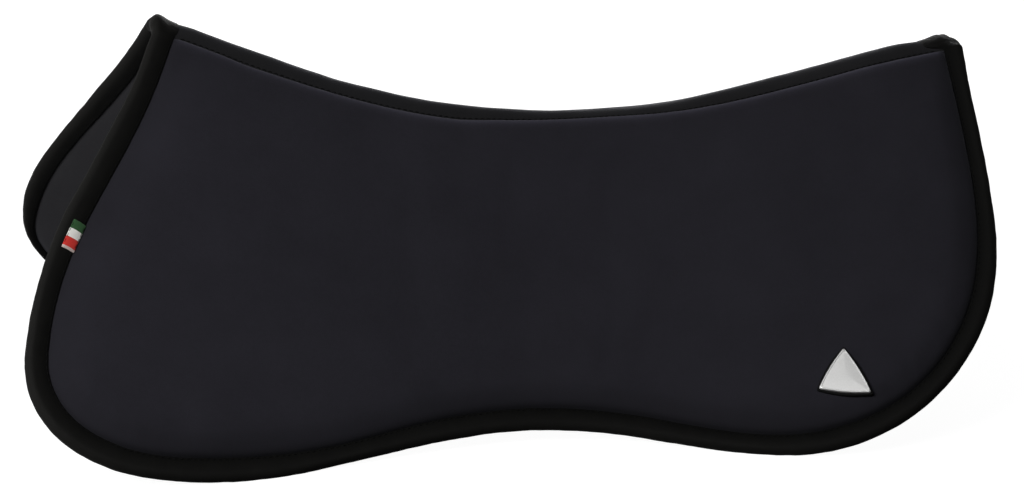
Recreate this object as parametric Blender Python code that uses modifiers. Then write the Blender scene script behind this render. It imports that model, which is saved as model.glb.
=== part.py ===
"""Half pad for a saddle: two padded panels hung either side of a narrow spine strip.

The pad stands as a tent on its four lobes. X runs from the withers (-X) to the loin (+X),
the pad's left side is at -Y, and Z is up. All lengths are in metres.

Every panel piece is first a flat pattern, as it would be cut, in two pattern coordinates:
x along the pad and s down the panel from the spine seam. It is then draped on the panel's
outer surface, and its depth is counted from that surface towards the horse.
"""

import math

import bpy
import numpy as np
from mathutils import Matrix, Vector
from mathutils.geometry import delaunay_2d_cdt

LEFT, RIGHT = -1, 1

# Overall sizes
PAD_LENGTH = 0.643
PANEL_DROP = 0.3086

# The strip over the spine: widest at both ends, narrowest and flattest under the seat
STRIP_WIDTH_ENDS = 0.036
STRIP_WIDTH_SEAT = 0.026
STRIP_CROWN_ENDS = 0.0075
STRIP_CROWN_SEAT = 0.0045
SEAT_X = 0.065
SEAT_REACH = 0.130

# Lean of the panels from the vertical at the spine, and how they curve on the way down
LEAN_FRONT = math.radians(36.8)
LEAN_MIDDLE = math.radians(39.2)
LEAN_REAR = math.radians(46.5)
TUCK_PER_METRE = 0.50
FLARE_PER_METRE2 = 2.29

# Spine line: (share of the length from the middle, height above its lowest point)
SPINE_LINE = (
    (-0.450, 0.0930),
    (-0.264, 0.0450),
    (-0.077, 0.0075),
    (0.109, 0.0000),
    (0.296, 0.0175),
    (0.483, 0.0450),
)

# A panel's outline from the withers round the lobes to the loin:
# (share of half the length, share of the drop)
PANEL_OUTLINE = (
    (-0.722, 0.000),
    (-0.771, 0.150),
    (-0.864, 0.378),
    (-0.948, 0.598),
    (-0.992, 0.788),
    (-0.989, 0.897),
    (-0.941, 0.969),
    (-0.858, 1.000),
    (-0.653, 0.964),
    (-0.375, 0.840),
    (-0.168, 0.737),
    (0.002, 0.702),
    (0.183, 0.724),
    (0.391, 0.801),
    (0.605, 0.851),
    (0.789, 0.809),
    (0.925, 0.667),
    (0.980, 0.495),
    (0.996, 0.250),
    (0.996, 0.000),
)

# Cloth, foam and tape
CLOTH = 0.0012
TAPE = 0.0012
TAPE_WIDTH = 0.0145
EDGE_THICKNESS = 0.0094
FOAM_THICKNESS = 0.0130
FACE_RISE = 0.0045
FACE_RISE_AT_SEAM = 0.0019
THREAD = 0.0008
STITCH_INSET = 0.0010

# How far from an edge the padding takes to reach its full height
ROLL_AT_TAPE = 0.012
ROLL_AT_SEAM = 0.005
DOME_REACH = 0.040
BACK_DOME_REACH = 0.0267

# Clearances
GAP = 0.0004
FOLD_INSET = 0.0055
SEAM_INSET = 0.0012
LINING_SEAM_INSET = 0.0025
SEAM_THREAD_INSET = 0.0015
FLOOR_FLAT = 0.0012

# Woven tab on the left withers binding, its share of the drop down from the spine, and the
# badge on the left rear lobe, whose place is its shares of half the length and of the drop
TAB_SIZE = (0.0090, 0.0200, 0.0007)
TAB_DOWN = 0.531
BADGE_SIDE = 0.0340
BADGE_BULGE = 0.0020
BADGE_PLATE = 0.0016
BADGE_BACKING = 0.0010
BADGE_BORDER = 0.0015
BADGE_AT = (0.6374, 0.7097)
BADGE_TURN = math.radians(11)

# Fold line of each panel on the strip: its distance from the middle plane, its height above
# the spine's dip at the pad's middle, and its rise for each metre towards the loin
FOLD_OUT = 0.016
FOLD_HEIGHT = 0.0212
FOLD_SLOPE = -0.04

# Spacing of the points along edges and inside a panel
EDGE_STEP = 0.020
FINE_EDGE_STEP = 0.005
FIELD_STEP = 0.040
FIELD_ROW_STEP = 0.036
FIELD_FROM_SEAM = 0.044
DRAPE_STEPS = 8
OUTLINE_SAMPLES = 800
TAPE_FOLD_STEPS = 5
STRIP_STATIONS = 26
STRIP_COLUMNS = 7
ARCH_COLUMNS = 9
TAB_POINTS = 5
BADGE_SIDE_POINTS = 7
BADGE_CORNER_SHARE = 0.07
NUDGE = 0.0001

# What moves with each panel, and what moves with the left one alone
PANEL_PIECES = ("outer_cover", "foam", "lining", "edge_binding", "binding_thread")
LEFT_TRIM = ("woven_tab", "tab_stitching", "badge_backing", "badge_plate")

# Colours
SUEDE = (0.018, 0.017, 0.021)
TAPE_BLACK = (0.007, 0.0065, 0.006)
FOAM_GREY = (0.32, 0.32, 0.31)
SILVER = (0.70, 0.70, 0.69)
TAB_GREEN = (0.02, 0.22, 0.06)
BACKING_BLACK = (0.01, 0.01, 0.01)

DEPTH_OF_CLOTH = TAPE + GAP
DEPTH_OF_FOAM = DEPTH_OF_CLOTH + CLOTH + GAP
DEPTH_OF_LINING = EDGE_THICKNESS - TAPE - GAP
STRIP_PADDING = DEPTH_OF_LINING - CLOTH - GAP - DEPTH_OF_FOAM


def smooth(t):
    t = np.clip(t, 0.0, 1.0)
    return t * t * (3 - 2 * t)


def smooth_curve(stops, values):
    """A natural cubic curve through values at the stops, carried on straight beyond its ends."""
    stops, values = np.asarray(stops, float), np.asarray(values, float)
    steps, count = np.diff(stops), len(stops)
    system, right = np.eye(count), np.zeros(values.shape)
    slopes = np.diff(values, axis=0) / steps.reshape(-1, *[1] * (values.ndim - 1))
    for i in range(1, count - 1):
        system[i, i - 1 : i + 2] = steps[i - 1], 2 * (steps[i - 1] + steps[i]), steps[i]
        right[i] = 6 * (slopes[i] - slopes[i - 1])
    bends = np.linalg.solve(system, right)

    def at(t):
        inside = min(max(t, stops[0]), stops[-1])
        i = min(int(np.searchsorted(stops, inside, side="right")) - 1, count - 2)
        h, a, b = steps[i], stops[i + 1] - inside, inside - stops[i]
        value = (bends[i] * a**3 + bends[i + 1] * b**3) / (6 * h)
        value = value + (values[i] / h - bends[i] * h / 6) * a
        value = value + (values[i + 1] / h - bends[i + 1] * h / 6) * b
        slope = (bends[i + 1] * b**2 - bends[i] * a**2) / (2 * h)
        slope = slope + (values[i + 1] - values[i]) / h - (bends[i + 1] - bends[i]) * h / 6
        return value + slope * (t - inside)

    return at


def seat_share(x):
    """1 under the seat, where the strip is narrowest, falling to 0 towards both ends."""
    return 1 - smooth(abs(x - SEAT_X) / SEAT_REACH)


def strip_width(x):
    return STRIP_WIDTH_ENDS + (STRIP_WIDTH_SEAT - STRIP_WIDTH_ENDS) * seat_share(x)


def strip_crown(x):
    return STRIP_CROWN_ENDS + (STRIP_CROWN_SEAT - STRIP_CROWN_ENDS) * seat_share(x)


def lean(x):
    t = x / PAD_LENGTH + 0.5
    ends = LEAN_FRONT * (1 - t) * (1 - 2 * t) + LEAN_REAR * t * (2 * t - 1)
    return ends + LEAN_MIDDLE * 4 * t * (1 - t)


spine_rise = smooth_curve(
    [share * PAD_LENGTH for share, _ in SPINE_LINE], [rise for _, rise in SPINE_LINE]
)


def on_face(x, s):
    """The point of the right panel's outer surface at pattern point (x, s), above the spine's dip."""
    middles = (np.arange(DRAPE_STEPS) + 0.5) / DRAPE_STEPS * s
    angles = lean(x) - TUCK_PER_METRE * middles + FLARE_PER_METRE2 * middles**2
    out, down = np.sin(angles).mean() * s, np.cos(angles).mean() * s
    return Vector((x, strip_width(x) / 2 + out, float(spine_rise(x)) - down))


def face_frame(x, s):
    """Point, direction along x, direction down the panel and outward normal at (x, s)."""
    along = (on_face(x + NUDGE, s) - on_face(x - NUDGE, s)) / (2 * NUDGE)
    down = (on_face(x, s + NUDGE) - on_face(x, s - NUDGE)) / (2 * NUDGE)
    return on_face(x, s), along, down, along.cross(down).normalized()


def on_panel(x, s, depth):
    point, _, _, outward = face_frame(x, s)
    return point - outward * depth


def on_strip(x, across, depth):
    """Point of the spine strip. across runs from -1 at its left edge to 1 at its right edge."""

    def top(x_here, across_here):
        rise = float(spine_rise(x_here)) + strip_crown(x_here) * (1 - across_here**2)
        return Vector((x_here, across_here * strip_width(x_here) / 2, rise))

    along = top(x + NUDGE, across) - top(x - NUDGE, across)
    over = top(x, across + NUDGE) - top(x, across - NUDGE)
    return top(x, across) - along.cross(over).normalized() * depth


outline_at = smooth_curve(
    np.r_[0, np.cumsum(np.hypot(*np.diff(np.array(PANEL_OUTLINE), axis=0).T))],
    np.array(PANEL_OUTLINE) * (PAD_LENGTH / 2, PANEL_DROP),
)
OUTLINE_END = float(np.hypot(*np.diff(np.array(PANEL_OUTLINE), axis=0).T).sum())


def even_stations(seam_inset, step):
    """Pattern points along the outline, evenly spaced, from where it leaves the seam."""
    fine = np.array([outline_at(t) for t in np.linspace(0, OUTLINE_END, OUTLINE_SAMPLES)])
    fine = fine[fine[:, 1] >= seam_inset]
    run = np.r_[0, np.cumsum(np.hypot(*np.diff(fine, axis=0).T))]
    count = max(8, round(run[-1] / step)) + 1
    marks = np.linspace(0, run[-1], count)
    return np.column_stack([np.interp(marks, run, fine[:, i]) for i in (0, 1)])


def pattern_step(x, s, direction):
    """The step in pattern coordinates that moves a point in this direction along the surface."""
    _, along, down, _ = face_frame(x, s)
    return np.linalg.lstsq(np.array([along, down]).T, np.array(direction), rcond=None)[0]


def inward_steps(stations):
    """For each station, the pattern step that goes 1 m square into the panel on its surface."""
    steps = []
    for (x, s), (tx, ts) in zip(stations, np.gradient(stations, axis=0)):
        _, along, down, outward = face_frame(x, s)
        tangent = (along * tx + down * ts).normalized()
        steps.append(pattern_step(x, s, tangent.cross(outward)))
    return np.array(steps)


def inset_points(stations, distance, seam_inset):
    points = stations + inward_steps(stations) * distance
    points[:, 1] = np.maximum(points[:, 1], seam_inset)
    return points


def edge_distance(points):
    """Distance of each pattern point from the outline, measured on the surface."""
    edge = np.array([on_face(x, s) for x, s in even_stations(0.0, FINE_EDGE_STEP)])
    spots = np.array([on_face(x, s) for x, s in points])
    return np.sqrt(((spots[:, None] - edge[None]) ** 2).sum(2)).min(1)


def flat_pattern(seam_inset):
    """Points and triangles of a panel layer: three rows that follow the edge, then an even field."""
    rows = []
    for distance, from_seam in (
        (FOLD_INSET, seam_inset),
        (TAPE_WIDTH + GAP, seam_inset + ROLL_AT_SEAM),
        (TAPE_WIDTH + GAP + ROLL_AT_TAPE, seam_inset + ROLL_AT_TAPE),
    ):
        stations = even_stations(from_seam, EDGE_STEP)
        edge = inset_points(stations, distance, from_seam)
        across = max(3, round((edge[-1, 0] - edge[0, 0]) / EDGE_STEP))
        top = np.linspace(edge[-1], edge[0], across + 1)[1:-1]
        rows.append(np.vstack([edge, top]))
    rim, edges, first = len(rows[0]), [], len(rows[0])
    for row in rows[1:]:
        edges += [(first + i, first + (i + 1) % len(row)) for i in range(len(row))]
        first += len(row)
    reach = TAPE_WIDTH + ROLL_AT_TAPE + FIELD_STEP / 2
    xs = np.arange(-PAD_LENGTH / 2, PAD_LENGTH / 2, FIELD_STEP)
    rows_s = np.arange(FIELD_FROM_SEAM, PANEL_DROP, FIELD_ROW_STEP)
    field = [(x + FIELD_STEP / 2 * (j % 2), s) for j, s in enumerate(rows_s) for x in xs]
    inner = [Vector(p) for p in rows[2]]
    field = np.array([p for p in field if inside(p, inner)])
    field = field[edge_distance(field) > reach]
    points = np.vstack([*rows, field])
    corners = [Vector(p) for p in points]
    made = delaunay_2d_cdt(corners, edges, [list(range(rim))], 1, 1e-6)
    flat = np.array([tuple(v) for v in made[0]])
    return flat, made[2]


def inside(point, ring):
    """Whether a pattern point lies inside a closed ring of points."""
    x, s = point
    found = False
    for a, b in zip(ring, ring[1:] + ring[:1]):
        if (a.y > s) != (b.y > s) and x < a.x + (s - a.y) * (b.x - a.x) / (b.y - a.y):
            found = not found
    return found


def face_height(points):
    """How far the padded outer face stands above the cloth under the tape."""
    from_tape = edge_distance(points) - TAPE_WIDTH - GAP
    s = points[:, 1]
    at_seam = FACE_RISE_AT_SEAM * np.clip(s / (ROLL_AT_SEAM + SEAM_INSET), 0, 1)
    dome = (FACE_RISE - FACE_RISE_AT_SEAM) * smooth(s / DOME_REACH)
    return smooth(from_tape / ROLL_AT_TAPE) * (at_seam + dome)


def back_depth(points):
    """How much deeper the padded inner face lies than the lining under the tape."""
    from_tape = edge_distance(points) - TAPE_WIDTH - GAP
    full = FOAM_THICKNESS - (DEPTH_OF_LINING - CLOTH - GAP - DEPTH_OF_FOAM) - FACE_RISE
    return smooth(from_tape / BACK_DOME_REACH) * smooth(points[:, 1] / DOME_REACH) * full


def new_material(name, colour, roughness, metallic=0.0):
    material = bpy.data.materials.new(name)
    material.use_nodes = True
    shader = material.node_tree.nodes["Principled BSDF"]
    shader.inputs["Base Color"].default_value = (*colour, 1.0)
    shader.inputs["Roughness"].default_value = roughness
    shader.inputs["Metallic"].default_value = metallic
    material.diffuse_color = (*colour, 1.0)
    return material


def new_object(name, mesh_or_curve, material):
    made = bpy.data.objects.new(name, mesh_or_curve)
    made.data.materials.append(material)
    bpy.data.collections["half_pad"].objects.link(made)
    return made


def mesh_from(name, points, faces):
    mesh = bpy.data.meshes.new(name)
    mesh.from_pydata([tuple(p) for p in points], [], [tuple(f) for f in faces])
    mesh.shade_smooth()
    return mesh


def floor_under_lobes():
    """The floor's height at x, above the spine's dip: it presses the fold under each lobe flat."""
    folds = [point for section in tape_sections(RIGHT) for point in section]
    front = min((point for point in folds if point.x < 0), key=lambda point: point.z)
    rear = min((point for point in folds if point.x > 0), key=lambda point: point.z)
    slope = (rear.z - front.z) / (rear.x - front.x)
    return lambda x: front.z + slope * (x - front.x) + FLOOR_FLAT


def lowered(point, floor):
    """The point with the floor at z = 0."""
    return Vector((point.x, point.y, point.z - floor(point.x)))


def settled(point, floor):
    """The point with the floor at z = 0, and no lower than the floor that it rests on."""
    point = lowered(point, floor)
    return Vector((point.x, point.y, max(point.z, 0.0)))


def on_side(point, side):
    return Vector((point.x, side * point.y, point.z))


def tape_profile():
    """(distance from the edge, depth) round the outside of the folded tape."""
    radius = EDGE_THICKNESS / 2
    turns = [math.pi / 2 + math.pi * i / TAPE_FOLD_STEPS for i in range(TAPE_FOLD_STEPS + 1)]
    fold = [(radius + radius * math.cos(a), radius - radius * math.sin(a)) for a in turns]
    return [(TAPE_WIDTH, 0.0), *fold, (TAPE_WIDTH, EDGE_THICKNESS)]


def seam_normal(x, side):
    """Direction that halves the corner between the strip and the panel, scaled to their depth."""
    panel = on_side(face_frame(x, 0.0)[3], side)
    strip = (on_strip(x, side, 0.0) - on_strip(x, side, NUDGE)).normalized()
    middle = (panel + strip).normalized()
    return middle / middle.dot(panel)


def tape_sections(side):
    """The folded tape's outer skin round one panel, one section for each station."""
    stations = even_stations(0.0, EDGE_STEP)
    inward = inward_steps(stations)
    sections = []
    for i, ((x, s), step) in enumerate(zip(stations, inward)):
        section = []
        for distance, depth in tape_profile():
            px, ps = np.array([x, s]) + step * distance
            point, _, down, outward = face_frame(px, max(ps, 0.0))
            at_seam = i in (0, len(stations) - 1)
            normal = seam_normal(px, RIGHT) if at_seam else outward
            shift = down.normalized() * (GAP / 2) if at_seam else Vector()
            section.append(on_side(point - normal * depth + shift, side))
        sections.append(section)
    return sections


def arch_sections(end):
    """The folded tape's outer skin over the strip. end is -1 at the withers, 1 at the loin."""
    edge_x = float(outline_at(0.0 if end < 0 else OUTLINE_END)[0])
    slope = float(spine_rise(edge_x + NUDGE) - spine_rise(edge_x - NUDGE)) / (2 * NUDGE)
    sections = []
    for across in np.linspace(-1, 1, ARCH_COLUMNS):
        section = []
        for distance, depth in tape_profile():
            x = edge_x - end * distance / math.hypot(1, slope)
            if abs(across) == 1:
                start = on_strip(x, across, 0.0) - seam_normal(x, int(across)) * depth
                section.append(start - Vector((0, across * GAP / 2, 0)))
            else:
                section.append(on_strip(x, across, depth))
        sections.append(section)
    return sections


def skin(name, sections, material):
    """A sheet through the sections, thickened inwards to the tape's thickness."""
    count = len(sections[0])
    points = [p for section in sections for p in section]
    faces = []
    for i in range(len(sections) - 1):
        for j in range(count - 1):
            a = i * count + j
            faces.append((a, a + 1, a + count + 1, a + count))
    a, b, c = (points[k] for k in faces[0][:3])
    middle = sum(sections[0], Vector()) / count
    if (b - a).cross(c - a).dot(a - middle) < 0:
        faces = [face[::-1] for face in faces]
    made = new_object(name, mesh_from(name, points, faces), material)
    thicken(made, TAPE)
    return made


def thicken(made, thickness):
    solidify = made.modifiers.new("thickness", "SOLIDIFY")
    solidify.thickness = thickness
    solidify.offset = -1.0
    solidify.use_even_offset = True


def sheet(name, pattern, depths, side, floor, material):
    """A layer of cloth: the pattern draped at its depths, thickened towards the horse."""
    flat, triangles = pattern
    points = [settled(on_side(on_panel(x, s, d), side), floor) for (x, s), d in zip(flat, depths)]
    faces = [outward_face(points, f, side) for f in triangles]
    made = new_object(name, mesh_from(name, points, faces), material)
    thicken(made, CLOTH)
    return made


def outward_face(points, face, side):
    """The face's corners in the order that makes it look up and away from the horse."""
    a, b, c = (points[i] for i in face[:3])
    normal = (b - a).cross(c - a)
    faces_out = normal.dot(Vector((0, side * math.cos(LEAN_MIDDLE), math.sin(LEAN_MIDDLE)))) > 0
    return tuple(face) if faces_out else tuple(face[::-1])


def foam(name, pattern, side, floor, material):
    """The padding inside a panel: a front and a back draped from one pattern, closed round its rim."""
    flat, triangles = pattern
    front = DEPTH_OF_FOAM - face_height(flat)
    back = DEPTH_OF_LINING - CLOTH - GAP + back_depth(flat)
    points = [settled(on_side(on_panel(x, s, d), side), floor) for (x, s), d in zip(flat, front)]
    behind = [settled(on_side(on_panel(x, s, d), side), floor) for (x, s), d in zip(flat, back)]
    count = len(points)
    faces = [outward_face(points, f, side) for f in triangles]
    edges = {(f[i - 1], f[i]) for f in faces for i in range(len(f))}
    rim = [(b, a, a + count, b + count) for a, b in edges if (b, a) not in edges]
    backs = [tuple(i + count for i in f[::-1]) for f in faces]
    mesh = mesh_from(name, points + behind, faces + backs + rim)
    return new_object(name, mesh, material)


def thread(name, points, material):
    """A line of stitching as one fine thread through the points."""
    curve = bpy.data.curves.new(name, "CURVE")
    curve.dimensions = "3D"
    curve.bevel_depth = THREAD / 2
    curve.bevel_resolution = 0
    curve.use_fill_caps = True
    line = curve.splines.new("POLY")
    line.points.add(len(points) - 1)
    for spot, point in zip(line.points, points):
        spot.co = (*point, 1.0)
    return new_object(name, curve, material)


def strip_layer(name, depth, thickness, narrower, floor, material):
    """One layer of the strip over the spine, under the tape at both ends."""
    start, stop = strip_ends()
    xs = np.linspace(start, stop, STRIP_STATIONS)
    points = []
    acrosses = np.linspace(-1, 1, STRIP_COLUMNS)
    for x in xs:
        share = 1 - 2 * narrower / strip_width(x)
        points += [lowered(on_strip(x, a * share, depth), floor) for a in acrosses]
    count = len(acrosses)
    faces = []
    for i in range(len(xs) - 1):
        for j in range(count - 1):
            a = i * count + j
            faces.append((a, a + count, a + count + 1, a + 1))
    made = new_object(name, mesh_from(name, points, faces), material)
    thicken(made, thickness)
    return made


def strip_ends():
    """Where the strip's layers stop, short of the fold of the tape at both ends."""
    return float(outline_at(0.0)[0]) + FOLD_INSET, float(outline_at(OUTLINE_END)[0]) - FOLD_INSET


def rounded_triangle(side, bulge, grow):
    """Outline of the badge about its centre: three bowed sides with blunt corners between them."""
    reach = side / math.sqrt(3)
    corners = [math.radians(90 + 120 * k) for k in range(3)]
    ring = []
    for k in range(3):
        a = Vector((math.cos(corners[k]), math.sin(corners[k]))) * reach
        b = Vector((math.cos(corners[k - 2]), math.sin(corners[k - 2]))) * reach
        outward = ((a + b) / 2).normalized()
        for t in np.linspace(BADGE_CORNER_SHARE, 1 - BADGE_CORNER_SHARE, BADGE_SIDE_POINTS):
            bow = bulge * (1 - (2 * t - 1) ** 2)
            ring.append(a.lerp(b, t) + outward * bow)
    return [p + p.normalized() * grow for p in ring]


def badge_plate(name, grow, depth, thickness, floor, material):
    """A plate of the badge, shaped to the cover that it is fixed to."""
    ring = rounded_triangle(BADGE_SIDE, BADGE_BULGE, grow)
    half_way = [p / 2 for p in ring]
    count = len(ring)
    middle = np.array([BADGE_AT[0] * PAD_LENGTH / 2, BADGE_AT[1] * PANEL_DROP])
    cover = DEPTH_OF_CLOTH - float(face_height(middle[None])[0])
    _, _, down, outward = face_frame(*middle)
    turn = Matrix.Rotation(BADGE_TURN, 3, outward)
    up, aside = turn @ -down, turn @ outward.cross(down)
    spots = []
    for p in [*ring, *half_way, Vector((0, 0))]:
        spots.append(middle + pattern_step(*middle, aside * p.x + up * p.y))
    points = [lowered(on_side(on_panel(x, s, cover - depth), LEFT), floor) for x, s in spots]
    faces = []
    for i in range(count):
        j = (i + 1) % count
        faces += [(i, j, count + j, count + i), (count + i, count + j, 2 * count)]
    faces = [outward_face(points, f, LEFT) for f in faces]
    made = new_object(name, mesh_from(name, points, faces), material)
    thicken(made, thickness)
    return made


def tab_point(along, across, height, floor):
    """A point above the withers binding. along and across are counted from the tab's middle."""
    run = np.array([outline_at(t) for t in np.linspace(0, OUTLINE_END, OUTLINE_SAMPLES)])
    steps = np.r_[0, np.cumsum(np.hypot(*np.diff(run, axis=0).T))]
    middle = steps[int(np.argmax(run[:, 1] > TAB_DOWN * PANEL_DROP))]
    tab_inset = STITCH_INSET + THREAD / 2 + GAP
    marks = middle + along + np.array([-FINE_EDGE_STEP, 0, FINE_EDGE_STEP])
    near = np.column_stack([np.interp(marks, steps, run[:, i]) for i in (0, 1)])
    x, s = near[1] + inward_steps(near)[1] * (TAPE_WIDTH - tab_inset - TAB_SIZE[0] / 2 + across)
    return lowered(on_side(on_panel(x, s, -height), LEFT), floor)


def woven_tab(name, floor, material):
    """The ribbon sewn flat on the withers binding, along the edge."""
    width, length, thickness = TAB_SIZE
    alongs = np.linspace(-length / 2, length / 2, TAB_POINTS)
    top = GAP + thickness
    points = [tab_point(a, c, top, floor) for c in (-width / 2, width / 2) for a in alongs]
    count = len(alongs)
    faces = [(i, i + 1, i + 1 + count, i + count) for i in range(count - 1)]
    faces = [outward_face(points, f, LEFT) for f in faces]
    made = new_object(name, mesh_from(name, points, faces), material)
    thicken(made, thickness)
    return made


def tab_stitching(name, floor, material):
    """One thread round the tab, inside its edge."""
    width, length, thickness = TAB_SIZE
    x, y = length / 2 - THREAD, width / 2 - THREAD
    corners = [(-x, y), (-x, -y), (0, -y), (x, -y), (x, y), (0, y), (THREAD * 2 - x, y)]
    height = GAP * 2 + thickness + THREAD / 2
    return thread(name, [tab_point(a, c, height, floor) for a, c in corners], material)


def build_panel(side, floor, pattern, materials):
    prefix = "left" if side == LEFT else "right"
    flat, triangles = pattern
    inner = np.column_stack([flat[:, 0], np.maximum(flat[:, 1], LINING_SEAM_INSET)]), triangles
    cover_depth = DEPTH_OF_CLOTH - face_height(flat)
    sheet(f"{prefix}_outer_cover", pattern, cover_depth, side, floor, materials["suede"])
    foam(f"{prefix}_foam", inner, side, floor, materials["foam"])
    lining_depth = DEPTH_OF_LINING - CLOTH + back_depth(inner[0])
    sheet(f"{prefix}_lining", inner, lining_depth, side, floor, materials["suede"])
    sections = [[settled(p, floor) for p in section] for section in tape_sections(side)]
    skin(f"{prefix}_edge_binding", sections, materials["tape"])
    share = STITCH_INSET / (TAPE_WIDTH - EDGE_THICKNESS / 2)
    line = []
    for section in sections:
        across = section[1] - section[0]
        outward = (section[0] - section[-1]).normalized()
        line.append(section[0] + across * share + outward * (GAP + THREAD / 2))
    thread(f"{prefix}_binding_thread", line, materials["thread"])


def build_spine(floor, materials):
    strip_layer("spine_strip_top", DEPTH_OF_CLOTH, CLOTH, 0.0, floor, materials["suede"])
    strip_layer(
        "spine_padding", DEPTH_OF_FOAM, STRIP_PADDING, DEPTH_OF_FOAM, floor, materials["foam"]
    )
    strip_layer(
        "spine_strip_lining",
        DEPTH_OF_LINING - CLOTH,
        CLOTH,
        0.0,
        floor,
        materials["suede"],
    )
    for name, end in (("front_arch_binding", -1), ("rear_arch_binding", 1)):
        sections = [[settled(p, floor) for p in section] for section in arch_sections(end)]
        skin(name, sections, materials["tape"])
    start, stop = strip_ends()
    for prefix, side in (("left", LEFT), ("right", RIGHT)):
        line = []
        for x in np.linspace(start + TAPE_WIDTH, stop - TAPE_WIDTH, STRIP_STATIONS):
            across = side * (1 - 2 * SEAM_THREAD_INSET / strip_width(x))
            spot = on_strip(x, across, DEPTH_OF_CLOTH - GAP - THREAD / 2)
            line.append(lowered(spot, floor))
        thread(f"{prefix}_spine_seam", line, materials["thread"])


def hang_on_fold(side, floor, names):
    """Parent a panel's pieces to an empty on its fold line, where the panel turns on the strip."""
    prefix = "left" if side == LEFT else "right"
    slope = FOLD_SLOPE - (floor(1.0) - floor(0.0))
    fold = bpy.data.objects.new(f"{prefix}_panel_fold", None)
    fold.location = (0.0, side * FOLD_OUT, FOLD_HEIGHT - floor(0.0))
    fold.rotation_euler = (0.0, -math.atan(slope), 0.0)
    bpy.data.collections["half_pad"].objects.link(fold)
    bpy.context.view_layer.update()
    for name in names:
        piece = bpy.data.objects[name]
        piece.parent = fold
        piece.matrix_parent_inverse = fold.matrix_world.inverted()


def build_badge(floor, materials):
    backing_top = GAP + BADGE_BACKING
    badge_plate(
        "badge_backing", BADGE_BORDER, backing_top, BADGE_BACKING, floor, materials["backing"]
    )
    plate_top = backing_top + GAP + BADGE_PLATE
    badge_plate("badge_plate", 0.0, plate_top, BADGE_PLATE, floor, materials["silver"])


def clear_scene():
    for thing in list(bpy.data.objects):
        bpy.data.objects.remove(thing, do_unlink=True)
    pad = bpy.data.collections.new("half_pad")
    bpy.context.scene.collection.children.link(pad)


def main():
    clear_scene()
    materials = {
        "suede": new_material("black suede cloth", SUEDE, 0.95),
        "tape": new_material("black binding tape", TAPE_BLACK, 0.85),
        "foam": new_material("grey memory foam", FOAM_GREY, 0.9),
        "thread": new_material("black thread", TAPE_BLACK, 0.6),
        "tab": new_material("woven ribbon", TAB_GREEN, 0.8),
        "silver": new_material("brushed silver metal", SILVER, 0.35, 1.0),
        "backing": new_material("black backing", BACKING_BLACK, 0.5),
    }
    floor = floor_under_lobes()
    pattern = flat_pattern(SEAM_INSET)
    for side in (LEFT, RIGHT):
        build_panel(side, floor, pattern, materials)
    build_spine(floor, materials)
    woven_tab("woven_tab", floor, materials["tab"])
    tab_stitching("tab_stitching", floor, materials["thread"])
    build_badge(floor, materials)
    hang_on_fold(LEFT, floor, [*(f"left_{piece}" for piece in PANEL_PIECES), *LEFT_TRIM])
    hang_on_fold(RIGHT, floor, [f"right_{piece}" for piece in PANEL_PIECES])


main()
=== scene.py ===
# %% [markdown]
# A black half pad: the padded cloth that lies between a saddle and a horse's back. Two padded
# panels hang either side of a narrow strip over the spine, a folded tape binds their free edges,
# and the pad stands by itself on its four lobes. The imported model gives the frame: its bodies,
# its joints and its sizes. Everything that shows is built here in finer meshes that stand in the
# same places, so the box round the imported model is noted first and printed beside the new one at the end.

import math

import bpy
import numpy as np
from mathutils import Matrix, Vector, noise
from mathutils.geometry import delaunay_2d_cdt


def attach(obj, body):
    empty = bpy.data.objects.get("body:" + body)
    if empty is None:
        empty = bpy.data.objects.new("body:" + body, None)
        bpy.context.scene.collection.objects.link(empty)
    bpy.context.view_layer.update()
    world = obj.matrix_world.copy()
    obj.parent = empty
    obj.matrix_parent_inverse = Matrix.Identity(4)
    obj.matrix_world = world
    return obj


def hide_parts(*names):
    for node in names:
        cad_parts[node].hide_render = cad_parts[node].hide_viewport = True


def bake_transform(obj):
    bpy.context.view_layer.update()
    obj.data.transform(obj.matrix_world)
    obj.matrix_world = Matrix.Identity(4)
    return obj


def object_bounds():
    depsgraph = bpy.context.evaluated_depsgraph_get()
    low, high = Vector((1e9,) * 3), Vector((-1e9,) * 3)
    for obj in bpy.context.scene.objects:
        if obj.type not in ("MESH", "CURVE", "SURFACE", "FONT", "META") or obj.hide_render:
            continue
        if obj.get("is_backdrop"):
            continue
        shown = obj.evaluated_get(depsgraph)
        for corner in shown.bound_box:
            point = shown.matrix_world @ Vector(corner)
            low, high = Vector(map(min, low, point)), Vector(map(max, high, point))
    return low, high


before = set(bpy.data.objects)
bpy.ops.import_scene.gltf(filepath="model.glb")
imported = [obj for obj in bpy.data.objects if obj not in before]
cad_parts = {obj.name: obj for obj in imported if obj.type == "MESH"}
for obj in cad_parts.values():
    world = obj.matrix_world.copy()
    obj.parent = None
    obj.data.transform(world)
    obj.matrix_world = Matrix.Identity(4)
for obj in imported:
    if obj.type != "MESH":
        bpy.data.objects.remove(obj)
CAD_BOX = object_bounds()

# %% [markdown]
# The camera comes before the modelling. It looks at the pad's left side, a little from the withers
# and a little from above. A long lens from two metres keeps the lines of the two panels nearly parallel.

# %% Camera
CAMERA_TOWARDS_WITHERS = math.radians(9.48)
CAMERA_ABOVE = math.radians(16.0)
CAMERA_ROLL = math.radians(0.848)
CAMERA_DISTANCE = 2.0
CAMERA_TARGET = Vector((0.0115, 0.0, 0.0909))
LENS_MM = 102.2

sideways, level = math.sin(CAMERA_TOWARDS_WITHERS), math.cos(CAMERA_ABOVE)
away = Vector((-sideways * level, -math.cos(CAMERA_TOWARDS_WITHERS) * level, math.sin(CAMERA_ABOVE)))


def placed(name, data):
    """A new object in the scene."""
    made = bpy.data.objects.new(name, data)
    bpy.context.scene.collection.objects.link(made)
    return made


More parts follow.
